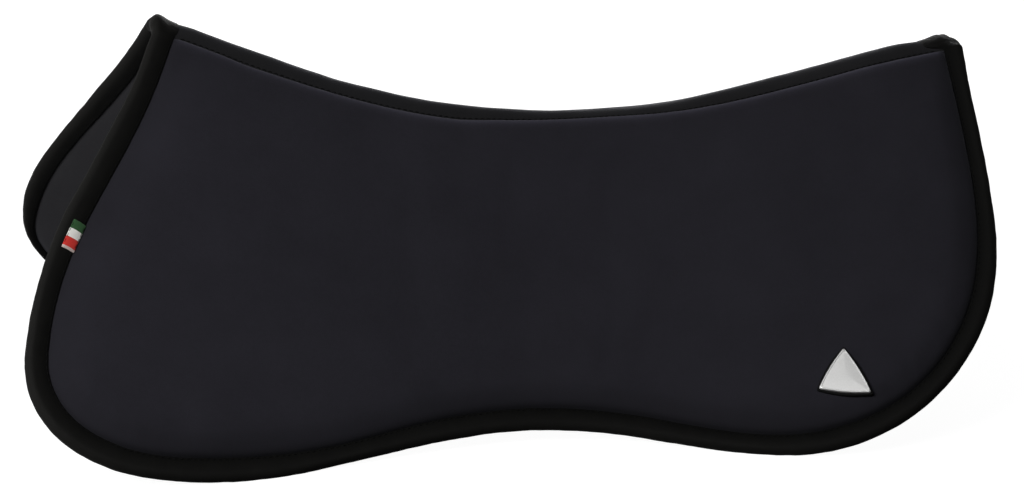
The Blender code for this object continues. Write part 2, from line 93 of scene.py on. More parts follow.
camera = placed("camera", bpy.data.cameras.new("camera"))
camera.data.lens = LENS_MM
camera.data.sensor_width = 36.0
camera.location = CAMERA_TARGET + away * CAMERA_DISTANCE
upright = (-away).to_track_quat("-Z", "Y")
camera.rotation_mode = "QUATERNION"
camera.rotation_quaternion = upright @ Matrix.Rotation(CAMERA_ROLL, 3, "Z").to_quaternion()
bpy.context.scene.camera = camera
bpy.context.scene.view_settings.view_transform = "Standard"
print("camera stands at", [round(v, 3) for v in camera.location])

# %% [markdown]
# Shader maths reads best as arithmetic. A Wire wraps one output socket, and each operator on it
# adds the Math node that does the sum. A Finish holds one material: its node method adds any other
# node, first its settings and then what goes into its sockets, and hands back a Wire.

# %% Shader helpers
WEAVE, SHADE = "weave", "shade"


class Wire:
    """One output socket that can be added, multiplied and so on, with numbers or other wires."""

    def __init__(self, tree, socket):
        self.tree, self.socket = tree, socket

    def sum(self, operation, other):
        node = self.tree.nodes.new("ShaderNodeMath")
        node.operation = operation
        for slot, value in zip(node.inputs, (self, other)):
            plug(slot, value)
        return Wire(self.tree, node.outputs[0])

    def __add__(self, other):
        return self.sum("ADD", other)

    def __sub__(self, other):
        return self.sum("SUBTRACT", other)

    def __mul__(self, other):
        return self.sum("MULTIPLY", other)

    def __gt__(self, other):
        return self.sum("GREATER_THAN", other)

    __radd__, __rmul__ = __add__, __mul__


def plug(slot, value):
    """Links a wire to a socket, or sets the socket's own value. A colour leaves out its alpha."""
    if isinstance(value, Wire):
        value.tree.links.new(value.socket, slot)
    else:
        slot.default_value = (*value, 1.0) if slot.type == "RGBA" else value


class Finish:
    """A material in the making. Its methods add nodes and hand back wires."""

    def __init__(self, name):
        self.material = bpy.data.materials.new(name)
        self.material.use_nodes = True
        self.tree = self.material.node_tree
        self.shader = self.tree.nodes["Principled BSDF"]

    def node(self, kind, settings=None, sockets=None, out=0):
        node = self.tree.nodes.new("ShaderNode" + kind)
        for name, value in (settings or {}).items():
            setattr(node, name, value)
        for name, value in (sockets or {}).items():
            plug(node.inputs[name], value)
        return Wire(self.tree, node.outputs[out])

    def place(self):
        """Where a point lies, in metres, counted from the pad's own origin."""
        return self.node("TexCoord", out="Object")

    def clouds(self, size, detail=2.0, rough=0.5):
        """Noise with blotches of about that size in metres."""
        sockets = {"Vector": self.place(), "Scale": 1 / size, "Detail": detail, "Roughness": rough}
        return self.node("TexNoise", sockets=sockets)

    def woven(self):
        """What a woven mesh carries: metres along it, metres across it, and its painted light: a painted
        highlight on the fold and painted shade beside the seam.
        """
        run = self.node("Attribute", {"attribute_name": WEAVE}, out="Vector")
        parts = self.node("SeparateXYZ", sockets={0: run}).socket.node.outputs
        return [Wire(self.tree, socket) for socket in parts]

    def waves(self, run, length):
        """A sine wave along a distance, each wave that many metres long."""
        return self.node("Math", {"operation": "SINE"}, {0: run * (2 * math.pi / length)})

    def between(self, dark, light, share):
        """A colour from dark to light."""
        return self.node("Mix", {"data_type": "RGBA"}, {"Factor": share, 6: dark, 7: light}, out=2)

    def scaled(self, colour, share):
        """The colour, lighter or darker."""
        return self.node("VectorMath", {"operation": "SCALE"}, {0: colour, "Scale": share})

    def dents(self, height, depth, strength):
        """A normal that shows the height, whose full range is that depth in metres."""
        return self.node("Bump", sockets={"Height": height, "Distance": depth, "Strength": strength})

    def shade(self, **values):
        """Sets the shader's sockets. A name's underscores stand for its spaces."""
        for name, value in values.items():
            plug(self.shader.inputs[name.replace("_", " ")], value)
        return self.material


print("shader helpers ready")

# %% [markdown]
# Black cloth on white is lit as in a product studio: soft lamps in front and at the withers, one
# above and behind that draws a thin light line along the top, and one for the far side. The room
# looks white to the camera but gives the pad little light, and the white floor gives it none, or
# both would flatten the shading of its padded edges.

# %% Room, lamps and floor
ROOM_LIGHT = 0.05
ROOM_SEEN = 0.98
FLOOR_SIZE = 60.0
FLOOR_GLOW = 0.96
# Each lamp's name, place, the point that it looks at, its width and height, and its watts.
LAMPS = (
    ("front lamp", (-0.90, -1.10, 1.28), (-0.05, -0.10, 0.10), 1.0, 0.8, 14.1),
    ("near lamp", (-0.75, -0.80, 0.60), (-0.15, -0.10, 0.12), 0.6, 0.5, 4.8),
    ("side lamp", (-1.50, -0.25, 0.15), (-0.28, 0.08, 0.12), 0.5, 0.4, 4.0),
    ("lamp above and behind", (-0.2, 2.0, 0.9), (0.0, 0.0, 0.15), 2.2, 0.6, 1.3),
    ("far side lamp", (0.35, 1.70, 0.30), (0.0, 0.15, 0.10), 1.2, 0.5, 16.0),
)


def soft_lamp(name, place, aim, width, height, watts):
    lamp = bpy.data.lights.new(name, "AREA")
    lamp.shape = "RECTANGLE"
    lamp.size, lamp.size_y, lamp.energy = width, height, watts
    holder = placed(name, lamp)
    holder.location = place
    holder.rotation_mode = "QUATERNION"
    holder.rotation_quaternion = (Vector(aim) - Vector(place)).to_track_quat("-Z", "Y")


def pale_room():
    """A room that looks white, and gives the pad only a little light."""
    world = bpy.data.worlds.new("pale room")
    bpy.context.scene.world = world
    world.use_nodes = True
    nodes, links = world.node_tree.nodes, world.node_tree.links
    ray = nodes.new("ShaderNodeLightPath")
    strength = nodes.new("ShaderNodeMapRange")
    strength.inputs["To Min"].default_value = ROOM_LIGHT
    strength.inputs["To Max"].default_value = ROOM_SEEN
    links.new(ray.outputs["Is Camera Ray"], strength.inputs["Value"])
    links.new(strength.outputs[0], nodes["Background"].inputs["Strength"])
    nodes["Background"].inputs["Color"].default_value = (1.0, 1.0, 1.0, 1.0)


def pale_floor():
    """A wide floor at z = 0 that the camera sees and that throws no light back on the pad."""
    half = FLOOR_SIZE / 2
    corners = [(-half, -half, 0), (half, -half, 0), (half, half, 0), (-half, half, 0)]
    mesh = bpy.data.meshes.new("floor")
    mesh.from_pydata(corners, [], [(0, 1, 2, 3)])
    finish = Finish("pale floor").shade(
        Base_Color=(0.30, 0.30, 0.30),
        Roughness=1.0,
        Specular_IOR_Level=0.0,
        Emission_Color=(1.0, 1.0, 1.0),
        Emission_Strength=FLOOR_GLOW,
    )
    mesh.materials.append(finish)
    floor = placed("floor", mesh)
    floor.visible_diffuse = floor.visible_glossy = False
    floor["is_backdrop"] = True


pale_room()
pale_floor()
for lamp in LAMPS:
    soft_lamp(*lamp)
print("lamps:", [name for name, *_ in LAMPS])

# %% [markdown]
# Nearly all of the pad is black cloth, so its finishes differ in fine things. The cover is a
# microfibre suede: no gloss, a faint cloudy tone where the nap lies this way or that, and a soft
# bloom, the shader's sheen, where it is seen edge on. The lining is like it with a coarser nap and
# is painted lighter, as painted light; the strip's top is painted darker, as painted shade. A number
# that the cover's mesh carries paints shade into it in the crease beside the tape, and paints a
# highlight along the roll of the spine seam.

# %% Suede finishes
def suede(name, dark, light, nap, bloom):
    finish = Finish(name)
    # The mesh's shade number scales the colour: painted shade below 1, painted highlight above it.
    shade = 1 + finish.node("Attribute", {"attribute_name": SHADE}, out="Fac")
    clouds = finish.clouds(0.045, 3.0, 0.55)
    nap_tone = finish.clouds(nap * 4, 2.0, 0.6)
    share = 0.42 * clouds + 0.34 * nap_tone + 0.24 * finish.clouds(nap)
    fibres = finish.clouds(nap, 4.0, 0.7)
    brushed = finish.between(dark, light, (share - 0.32) * 2.4)
    return finish.shade(
        Base_Color=finish.scaled(brushed, shade),
        Roughness=0.80 + 0.18 * nap_tone,
        Specular_IOR_Level=0.18,
        Sheen_Weight=bloom,
        Sheen_Roughness=0.42,
        Sheen_Tint=(0.86, 0.87, 1.0),
        Normal=finish.dents(fibres, 0.00022, 0.55),
    )


COVER_SUEDE, LIGHTENED_LINING_SUEDE, SHADED_STRIP_SUEDE = (
    suede("black microfibre suede", (0.0123, 0.0117, 0.0163), (0.0201, 0.0193, 0.0262), 0.0006, 0.16),
    # The lining suede is painted lighter than the cover: painted light on the far panel's inner side. Its
    # coarser nap is the cloth's own.
    suede("black lining suede with painted light", (0.0205, 0.0200, 0.0225), (0.0330, 0.0322, 0.0350), 0.0009, 0.14),
    # The strip's suede is the cover's cloth painted darker: painted shade for its upward-facing top.
    suede("black strip suede with painted shade", (0.0075, 0.0074, 0.0082), (0.0130, 0.0128, 0.0138), 0.0008, 0.10),
)
print("suedes:", COVER_SUEDE.name, LIGHTENED_LINING_SUEDE.name, SHADED_STRIP_SUEDE.name, sep=", ")

# %% [markdown]
# The tape is woven: fine ribs run across its width, crossed by thinner threads along it. The ribs
# have to follow the tape round the pad, so each tape mesh carries the distance along the tape and
# across it, in metres. It also carries painted light: a painted highlight that makes the tape a little
# paler where it turns over the edge, and painted shade beside its stitched inner edge.

# %% Tape, thread, foam
RIB, TAPE_THREAD = 0.00085, 0.00045
FOAM_CELL = 0.0011


def tape_finish():
    finish = Finish("black woven binding tape")
    along, across, painted_light = finish.woven()
    ribs, threads = finish.waves(along, RIB), finish.waves(across, TAPE_THREAD)
    weave = 0.5 + 0.30 * ribs + 0.20 * threads * ribs
    clouds = finish.clouds(0.018, 3.0, 0.6)
    # The tape's painted light: paler on the fold as a painted highlight, darker at the stitched inner edge
    # as painted shade.
    tone = 0.02 + 0.20 * clouds + 0.14 * weave + 0.55 * painted_light
    return finish.shade(
        Base_Color=finish.between((0.0010, 0.0010, 0.0008), (0.0150, 0.0146, 0.0136), tone),
        Roughness=0.66 + 0.20 * clouds,
        Specular_IOR_Level=0.10,
        Sheen_Weight=0.12,
        Sheen_Roughness=0.30,
        Normal=finish.dents(weave, 0.00016, 0.7),
    )


def grained(name, noise_of, dark, light, roughness, dents, **more):
    """A finish whose tone, roughness and dents all follow one fine noise."""
    finish = Finish(name)
    grain = finish.clouds(*noise_of)
    return finish.shade(
        Base_Color=finish.between(dark, light, grain),
        Roughness=roughness[0] + roughness[1] * grain,
        Normal=finish.dents(grain, *dents),
        **more,
    )


def foam_finish():
    finish = Finish("grey memory foam")
    cells = finish.node("TexVoronoi", sockets={"Vector": finish.place(), "Scale": 1 / FOAM_CELL})
    return finish.shade(
        Base_Color=finish.between((0.20, 0.20, 0.195), (0.36, 0.36, 0.35), cells * 1.2),
        Roughness=0.95,
        Normal=finish.dents(cells, 0.0004, 0.8),
    )


TAPE_BLACK, FOAM_GREY = tape_finish(), foam_finish()
THREAD_BLACK = grained(
    "black sewing thread", (0.0004, 2.0, 0.6), (0.0015, 0.0015, 0.0015), (0.006, 0.006, 0.006),
    (0.70, 0.15), (0.0001, 0.6), Specular_IOR_Level=0.08,
)
print("tape, thread and foam:", TAPE_BLACK.name, THREAD_BLACK.name, FOAM_GREY.name)

# %% [markdown]
# The pad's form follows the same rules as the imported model, so that the fine meshes land where the
# plain ones stand. A panel is drawn flat, as it is cut, with x along the pad and s down from the
# spine seam. It is then draped: it leans out from the spine, tucks in a little and flares again on
# the way down.

# %% Driving sizes of the form
LEFT, RIGHT = -1, 1
PAD_LENGTH = 0.643
PANEL_DROP = 0.3086
DIP_HEIGHT, TILT = 0.184607, 0.0042814
STRIP_WIDTH_ENDS, STRIP_WIDTH_SEAT = 0.036, 0.026
STRIP_CROWN_ENDS, STRIP_CROWN_SEAT = 0.0075, 0.0045
SEAT_X, SEAT_REACH = 0.065, 0.130
LEAN_FRONT, LEAN_MIDDLE, LEAN_REAR = (math.radians(a) for a in (36.8, 39.2, 46.5))
TUCK_PER_METRE = 0.50
FLARE_PER_METRE2 = 2.29
DRAPE_STEPS = 8
EDGE_THICKNESS = 0.0094
NUDGE = 0.0001


def thousandths(*values):
    """Numbers, or rows of them, that are written in thousandths."""
    return np.array(values) / 1000


# Shares of the pad's length and heights in metres, then shares of the panel's half length and depth.
SPINE_LINE = thousandths((-450, 93), (-264, 45), (-77, 7.5), (109, 0), (296, 17.5), (483, 45))
PANEL_OUTLINE = thousandths(
    (-722, 0), (-771, 150), (-864, 378), (-948, 598), (-992, 788), (-989, 897), (-941, 969),
    (-858, 1000), (-653, 964), (-375, 840), (-168, 737), (2, 702), (183, 724), (391, 801),
    (605, 851), (789, 809), (925, 667), (980, 495), (996, 250), (996, 0),
)
print("pad", PAD_LENGTH, "m long, panels", PANEL_DROP, "m deep")

# %% [markdown]
# Two small tools do most of the drawing: an even ease from 0 to 1, and a natural cubic curve
# through a few points, the shape that a strip of spring steel takes. Both work on whole arrays, so
# that thousands of points cost one call.

# %% Easing and curves
def ease(t):
    t = np.clip(t, 0.0, 1.0)
    return t * t * (3 - 2 * t)


def curve_through(stops, values):
    """A natural cubic curve through the values at the stops, carried on straight past its ends."""
    stops, values = np.asarray(stops, float), np.asarray(values, float)
    rows = values.reshape(len(stops), -1)
    steps = np.diff(stops)
    slopes = np.diff(rows, axis=0) / steps[:, None]
    system, right = np.eye(len(stops)), np.zeros_like(rows)
    for i in range(1, len(stops) - 1):
        system[i, i - 1 : i + 2] = steps[i - 1], 2 * (steps[i - 1] + steps[i]), steps[i]
        right[i] = 6 * (slopes[i] - slopes[i - 1])
    bends = np.linalg.solve(system, right)

    def at(t):
        t = np.asarray(t, float)
        inside = np.clip(t.ravel(), stops[0], stops[-1])
        i = np.clip(np.searchsorted(stops, inside, side="right") - 1, 0, len(steps) - 1)
        h, a, b = steps[i][:, None], (stops[i + 1] - inside)[:, None], (inside - stops[i])[:, None]
        value = (bends[i] * a**3 + bends[i + 1] * b**3) / (6 * h)
        value += (rows[i] / h - bends[i] * h / 6) * a + (rows[i + 1] / h - bends[i + 1] * h / 6) * b
        slope = (bends[i + 1] * b**2 - bends[i] * a**2) / (2 * h)
        slope += (rows[i + 1] - rows[i]) / h - (bends[i + 1] - bends[i]) * h / 6
        value += slope * (t.ravel() - inside)[:, None]
        return value.reshape(t.shape + values.shape[1:])

    return at


def unit(vectors):
    return vectors / np.linalg.norm(vectors, axis=-1, keepdims=True)


above_dip = curve_through(SPINE_LINE[:, 0] * PAD_LENGTH, SPINE_LINE[:, 1])


def spine_height(x):
    """Height of the strip's sides above the floor. The pad stands a touch higher at the loin."""
    return DIP_HEIGHT + TILT * x + above_dip(x)


print("the strip is", round(float(spine_height(SEAT_X)), 4), "m high under the seat")

# %% [markdown]
# The drape turns a pattern point into a point in space. More functions use it: one gives the
# directions along, down and out of the panel, one a point at a depth under the surface, and one the
# step on the pattern that goes in a given direction in space. Sewn by hand, the seam and the
# strip's crown aren't quite even: two tables say how far they rise or dip along the pad.

# %% Draping a pattern
SEAM_LIFT = thousandths(
    (-232, 1), (-208, 1.8), (-184, 1.3), (-172, 0.3), (-148, 0.5), (-100, 0.6), (-52, 0.8), (-28, 0.8),
    (-4, 2.5), (20, 3), (56, 3), (80, 2.4), (104, 1.1), (128, 0.3), (152, 0.3), (176, 0.9), (200, 1.6),
    (224, 2.1), (248, 2.9), (272, 2.3), (296, 0.9), (308, 0),
)
TOP_LIFT = thousandths(
    (-232, 0), (-214.6, 1), (-208, 1.9), (-184, 1.6), (-148, 1.3), (-112, 0.1), (-76, 0.7), (-52, 0.5),
    (-4, 1.6), (44, 1.7), (80, 0.6), (92, -0.3), (122, -1.8), (152, -1.6), (188, -1.1), (224, -0.6),
    (260, 0.6), (284, 0.1), (290, -1.4), (296, -2.2), (320, -2.2),
)
LIFT_WINDOW = 0.005
WINDOW_SAMPLES = 9
LIFT_REACH = 0.060


def towards_seat(x, at_ends, at_seat):
    """A size of the strip that eases from its value at the ends to its value under the seat."""
    return at_ends + (at_seat - at_ends) * (1 - ease(np.abs(x - SEAT_X) / SEAT_REACH))


def strip_width(x):
    return towards_seat(x, STRIP_WIDTH_ENDS, STRIP_WIDTH_SEAT)


def smoothed(table, x, window):
    """The table's value at x, averaged over a window so that its corners are rounded."""
    offsets = np.linspace(-window, window, WINDOW_SAMPLES)
    spots = np.asarray(x)[..., None] + offsets
    return np.interp(spots, *np.transpose(table)).mean(-1)


def lean(x):
    t = x / PAD_LENGTH + 0.5
    ends = LEAN_FRONT * (1 - t) * (1 - 2 * t) + LEAN_REAR * t * (2 * t - 1)
    return ends + LEAN_MIDDLE * 4 * t * (1 - t)


def on_face(x, s):
    """Points of the right panel's outer surface."""
    middles = (np.arange(DRAPE_STEPS) + 0.5) / DRAPE_STEPS * s[..., None]
    angles = lean(x)[..., None] - TUCK_PER_METRE * middles + FLARE_PER_METRE2 * middles**2
    out, down = np.sin(angles).mean(-1) * s, np.cos(angles).mean(-1) * s
    lift = smoothed(SEAM_LIFT, x, LIFT_WINDOW) * (1 - ease(s / LIFT_REACH))
    return np.stack([x, strip_width(x) / 2 + out, spine_height(x) - down + lift], -1)


def face_frame(x, s):
    """Directions along x and down the panel, and the outward normal."""
    along = (on_face(x + NUDGE, s) - on_face(x - NUDGE, s)) / (2 * NUDGE)
    down = (on_face(x, s + NUDGE) - on_face(x, s - NUDGE)) / (2 * NUDGE)
    return along, down, unit(np.cross(along, down))


def on_panel(x, s, depth):
    return on_face(x, s) - face_frame(x, s)[2] * np.asarray(depth)[..., None]


def pattern_steps(x, s, directions):
    """The pattern steps that move points in these directions along the surface."""
    along, down, _ = face_frame(x, s)
    jacobian = np.stack([along, down], -1)
    squares = np.swapaxes(jacobian, -1, -2) @ jacobian
    return np.linalg.solve(squares, np.swapaxes(jacobian, -1, -2) @ directions[..., None])[..., 0]


def on_side(points, side):
    return points * np.array([1, side, 1])


def side_name(side, what):
    return ("left_" if side == LEFT else "right_") + what


print("a panel leans out by", math.degrees(LEAN_MIDDLE), "degrees at its middle")

# %% [markdown]
# The free edge is walked at even steps from the withers end of the spine to its loin end. Any
# distance along it then gives a point, and the step that leads square into the panel from there.

# %% The free edge
OUTLINE_SAMPLES = 1600
TANGENT_REACH = 0.002
EDGE_SEARCH_STEP = 0.0015
GROUP = 1500
stops = np.r_[0, np.cumsum(np.hypot(*np.diff(PANEL_OUTLINE, axis=0).T))]
outline_at = curve_through(stops, PANEL_OUTLINE * (PAD_LENGTH / 2, PANEL_DROP))
OUTLINE = outline_at(np.linspace(0, stops[-1], OUTLINE_SAMPLES))
OUTLINE_RUN = np.r_[0, np.cumsum(np.linalg.norm(np.diff(on_face(*OUTLINE.T), axis=0), axis=1))]
EDGE_LENGTH = OUTLINE_RUN[-1]
FRONT_END, REAR_END = float(OUTLINE[0, 0]), float(OUTLINE[-1, 0])


def edge_at(run):
    """Pattern points of the free edge at distances along it from the withers."""
    return np.stack([np.interp(run, OUTLINE_RUN, OUTLINE[:, i]) for i in (0, 1)], -1)


def inward(run):
    """The pattern step of one metre square into the panel, at distances along the free edge."""
    x, s = edge_at(run).T
    ahead, behind = np.minimum(run + TANGENT_REACH, EDGE_LENGTH), np.maximum(run - TANGENT_REACH, 0)
    step = edge_at(ahead) - edge_at(behind)
    along, down, outward = face_frame(x, s)
    tangent = unit(along * step[:, :1] + down * step[:, 1:])
    return pattern_steps(x, s, np.cross(tangent, outward))


def squares_to(spots, line):
    """Each spot's least squared distance to the points of a line, and which point is nearest."""
    least, nearest = [], []
    for group in np.array_split(spots, max(1, len(spots) // GROUP)):
        squares = ((group[:, None] - line[None]) ** 2).sum(2)
        least.append(squares.min(1))
        nearest.append(squares.argmin(1))
    return np.concatenate(least), np.concatenate(nearest)


def distance_to_edge(points):
    """For pattern points: the distance over the surface to the free edge, and where it is nearest."""
    runs = np.arange(0, EDGE_LENGTH, EDGE_SEARCH_STEP)
    squares, nearest = squares_to(on_face(*points.T), on_face(*edge_at(runs).T))
    return np.sqrt(squares), runs[nearest]


print("free edge", round(EDGE_LENGTH, 3), "m long, from x", round(FRONT_END, 3), "to", round(REAR_END, 3))

# %% [markdown]
# The tape is widest down the withers edge and narrowest up the loin edge. Beside it the padded face
# starts steeply along the bottom and the loin edge, and gently at the withers. Both follow the
# place along the free edge, as a share of its length.

# %% What changes along the edge
TAPE_WIDTHS = thousandths(
    (0, 15.5), (100, 15.7), (135, 14), (170, 14.8), (240, 15.6), (300, 15), (400, 14), (500, 13.8),
    (620, 13.2), (700, 14.2), (800, 13), (900, 12.5), (970, 12.8), (1000, 14.5),
)
INNER_SHARE = 0.66
ROLLS = ((0.0, 0.022), (0.22, 0.022), (0.30, 0.017), (0.80, 0.017), (1.0, 0.016))
STEEPNESS = ((0.0, 0.25), (0.22, 0.30), (0.32, 0.90), (0.82, 0.95), (1.0, 0.85))
SHARE_EASING = 0.03


def along_edge(table, run, easing=SHARE_EASING):
    """The table's value at distances along the free edge, rounded over its corners."""
    return smoothed(table, np.asarray(run) / EDGE_LENGTH, easing)


def tape_width(run):
    return along_edge(TAPE_WIDTHS, run)


print("tape between", TAPE_WIDTHS[:, 1].min(), "and", TAPE_WIDTHS[:, 1].max(), "m wide")

# %% [markdown]
# The mesh of a panel starts flat. Rings of points lie close together beside the tape and along the
# spine seam, where the cloth turns over, and an even field of points fills the rest. Blender's
# constrained Delaunay triangulation joins them. That suits cloth, because it has no favoured
# direction to fold in.

# %% The flat pattern of a panel
RING_STEPS = thousandths(-8.5, -4.8, -3.4, -1.8, 0, 0.7, 1.5, 2.6, 4.0, 6.0, 8.8, 12.4, 16.5)
RING_SEAM_S = thousandths(0.2, 0.5, 0.8, 1.1, 1.5, 2.1, 2.8, 3.7, 5.0, 6.8, 9.0, 12.0, 16.0)
RING_POINT_STEP = 0.0042
FIELD_STEP = 0.0060
FIELD_CLEAR = 0.0036
SAME_POINT = 1e-7


def down_to_seam(row, from_seam):
    """The row with its first end carried on straight to the seam."""
    row = row[int(np.argmax(row[:, 1] > from_seam + RING_POINT_STEP / 2)) :]
    step = row[0] - row[1]
    reach = (from_seam - row[0, 1]) / step[1]
    shares = np.linspace(reach, 0, math.ceil(reach) + 1)[:-1, None]
    return np.vstack([row[0] + step * shares, row])


def ring(past_tape, from_seam):
    """A closed row of pattern points: inside the tape's edge, and back along the seam."""
    runs = np.linspace(0, EDGE_LENGTH, round(EDGE_LENGTH / RING_POINT_STEP) + 1)
    row = edge_at(runs) + inward(runs) * (tape_width(runs) + past_tape)[:, None]
    row = down_to_seam(row, from_seam)
    row = down_to_seam(row[::-1], from_seam)[::-1]
    seam_count = round((row[-1, 0] - row[0, 0]) / RING_POINT_STEP)
    return np.vstack([row, np.linspace(row[-1], row[0], seam_count + 1)[1:-1]])


def within(points, loop):
    """Which pattern points lie inside a closed row."""
    found = np.zeros(len(points), bool)
    for (ax, ay), (bx, by) in zip(loop, np.roll(loop, -1, axis=0)):
        crosses = (ay > points[:, 1]) != (by > points[:, 1])
        if ay != by:
            found ^= crosses & (points[:, 0] < ax + (points[:, 1] - ay) * (bx - ax) / (by - ay))
    return found


def flat_panel():
    """Pattern points and triangles of a whole panel."""
    rings = [ring(*steps) for steps in zip(RING_STEPS, RING_SEAM_S)]
    edges, first = [], len(rings[0])
    for row in rings[1:]:
        edges += [(first + i, first + (i + 1) % len(row)) for i in range(len(row))]
        first += len(row)
    last = rings[-1]
    rows_s = np.arange(last[:, 1].min(), PANEL_DROP, FIELD_STEP * math.sqrt(0.75))
    xs = np.arange(-PAD_LENGTH / 2, PAD_LENGTH / 2, FIELD_STEP)
    field = np.array([(x + FIELD_STEP / 2 * (j % 2), s) for j, s in enumerate(rows_s) for x in xs])
    field = field[within(field, last)]
    points = np.vstack([*rings, field[squares_to(field, last)[0] > FIELD_CLEAR**2]])
    made = delaunay_2d_cdt([Vector(p) for p in points], edges, [range(len(rings[0]))], 1, SAME_POINT)
    return np.array(made[0]), np.array(made[2])


FLAT, TRIANGLES = flat_panel()
FROM_EDGE, EDGE_RUN = distance_to_edge(FLAT)
print("a panel's pattern has", len(FLAT), "points and", len(TRIANGLES), "triangles")

# %% [markdown]
# Under the tape the cloth is pressed flat by the stitching. Inside it the foam lifts the face: a
# quarter round right at the tape, and a slower rise to the full thickness. Along the spine seam the
# cover turns over in a small tight roll, the edge that catches the light. The inner face swells
# towards the horse in the same way, but less.

# %% Heights of the padded faces
CLOTH = 0.0012
TAPE = 0.0009
TAPE_SUNK = 0.0011
LAYER_GAP = 0.0003
PRESSED = TAPE_SUNK + TAPE + LAYER_GAP
FACE_RISE = 0.0075
SEAM_ROLL = 0.0030
SEAM_ROLL_RISE = 0.0027
DOME_REACH = 0.040
BACK_RISE = 0.0043
BACK_ROLL = 0.030
BACK_STEEP = 0.45
AT_ONCE = 3


def quarter_round(t):
    return np.sqrt(1 - (1 - np.clip(t, 0.0, 1.0)) ** 2)


def face_heights(points, from_edge, run):
    """How far the outer face stands above the cloth under the tape."""
    roll = along_edge(ROLLS, run)
    steep = along_edge(STEEPNESS, run)
    t = (from_edge - tape_width(run)) / roll
    beside_tape = steep * quarter_round(t) + (1 - steep) * ease(t)
    s = points[:, 1]
    at_seam = SEAM_ROLL_RISE * quarter_round(s / SEAM_ROLL)
    dome = (FACE_RISE - SEAM_ROLL_RISE) * ease(s / DOME_REACH)
    return quarter_round(AT_ONCE * t) * at_seam + beside_tape * dome


def back_heights(points, from_edge, run):
    """How far the inner face stands out towards the horse."""
    t = (from_edge - INNER_SHARE * tape_width(run)) / BACK_ROLL
    beside_tape = BACK_STEEP * quarter_round(AT_ONCE * t) + (1 - BACK_STEEP) * ease(t)
    return BACK_RISE * beside_tape * ease(points[:, 1] / DOME_REACH)


FACE_HEIGHT = face_heights(FLAT, FROM_EDGE, EDGE_RUN)
BACK_HEIGHT = back_heights(FLAT, FROM_EDGE, EDGE_RUN)
print("face and back stand up to", FACE_HEIGHT.max().round(5), "and", BACK_HEIGHT.max().round(5), "m")

# %% [markdown]
# Real padding is never as even as a formula. The cover and the lining are joined into one closed
# envelope, and Blender's cloth simulation blows it up a little, with gravity off and the rim held
# by the tape. Only how far each point rises is kept, and no more than a cap, so the envelope stays
# in its place and gains the soft unevenness of stuffed cloth. Every cloth piece is a closed skin
# like it: an outer sheet, a sheet behind it and the rim between them.

# %% Swelling the envelope
PRESSURE = 4.0
FRAMES = 20
SWELL_CAP = 0.0016
SWELL_SHARE = 0.55
HELD_PAST_TAPE = 0.0015
SET_BACK_REACH = 0.012


def up_and_out(side):
    """The direction that the middle of a panel faces."""
    return np.array([0.0, side * math.cos(LEAN_MIDDLE), math.sin(LEAN_MIDDLE)])


def closed_skin(outer, inner, faces, towards):
    """Points and faces of a sheet that looks in a direction, the sheet behind it and the rim."""
    a, b, c = (outer[faces[:, k]] for k in range(3))
    if (np.cross(b - a, c - a) * towards).sum() < 0:
        faces = faces[:, ::-1]
    count = len(outer)
    edges = {(int(f[i - 1]), int(f[i])) for f in faces for i in range(len(f))}
    rim = [(b, a, a + count, b + count) for a, b in edges if (b, a) not in edges]
    backs = faces[:, ::-1] + count
    return np.vstack([outer, inner]), [*faces.tolist(), *backs.tolist(), *rim]


def sheet_skin(side, outer_depth, inner_depth, set_back=0.0):
    """A closed layer over the panel's pattern, between two depths and set back from the seam."""
    x, s = FLAT.T
    s = s + set_back * np.maximum(1 - s / SET_BACK_REACH, 0.0)
    outer, inner = (on_side(on_panel(x, s, depth), side) for depth in (outer_depth, inner_depth))
    return closed_skin(outer, inner, TRIANGLES, up_and_out(side))


def swell(points, faces, held):
    """How far each point moves when the envelope is blown up a little."""
    mesh = bpy.data.meshes.new("envelope")
    mesh.from_pydata(points.tolist(), [], faces)
    envelope = placed("envelope", mesh)
    pinned = envelope.vertex_groups.new(name="under the tape")
    pinned.add(np.flatnonzero(np.r_[held, held]).tolist(), 1.0, "REPLACE")
    cloth = envelope.modifiers.new("cloth", "CLOTH").settings
    cloth.vertex_group_mass = pinned.name
    cloth.quality = 4
    cloth.mass = 0.35
    cloth.tension_stiffness = cloth.compression_stiffness = 18.0
    cloth.shear_stiffness = 8.0
    cloth.bending_stiffness = 0.8
    cloth.use_pressure = True
    cloth.uniform_pressure_force = PRESSURE
    cloth.effector_weights.gravity = 0.0
    for frame_number in range(1, FRAMES + 1):
        bpy.context.scene.frame_set(frame_number)
    blown = envelope.evaluated_get(bpy.context.evaluated_depsgraph_get()).data
    moved = np.array([v.co for v in blown.vertices]) - points
    bpy.data.objects.remove(envelope)
    bpy.context.scene.frame_set(1)
    return moved


def padded_heights(side):
    """The heights of both faces of one panel, after the swelling."""
    front, back = FACE_HEIGHT.copy(), BACK_HEIGHT.copy()
    x, s = FLAT.T
    normals = on_side(face_frame(x, s)[2], side)
    held = (FROM_EDGE < tape_width(EDGE_RUN) + HELD_PAST_TAPE) | (s < SEAM_ROLL)
    skin = sheet_skin(side, PRESSED - front, EDGE_THICKNESS - PRESSED + back)
    moved = np.split(swell(*skin, held), 2)
    for heights, moves, sign in zip((front, back), moved, (1, -1)):
        rise = (moves * normals).sum(1) * sign * SWELL_SHARE
        heights += SWELL_CAP * np.tanh(rise / SWELL_CAP)
        print(side_name(side, "panel"), "swells by up to", round(float(np.abs(rise).max()) * 1000, 2), "mm")
    return front, back


# %% [markdown]
# Each mesh becomes a piece in the same steps: it gets its finish, and the node of the imported
# model that it stands for is hidden.

# %% Making pieces
RIM_ANGLE = math.radians(50)


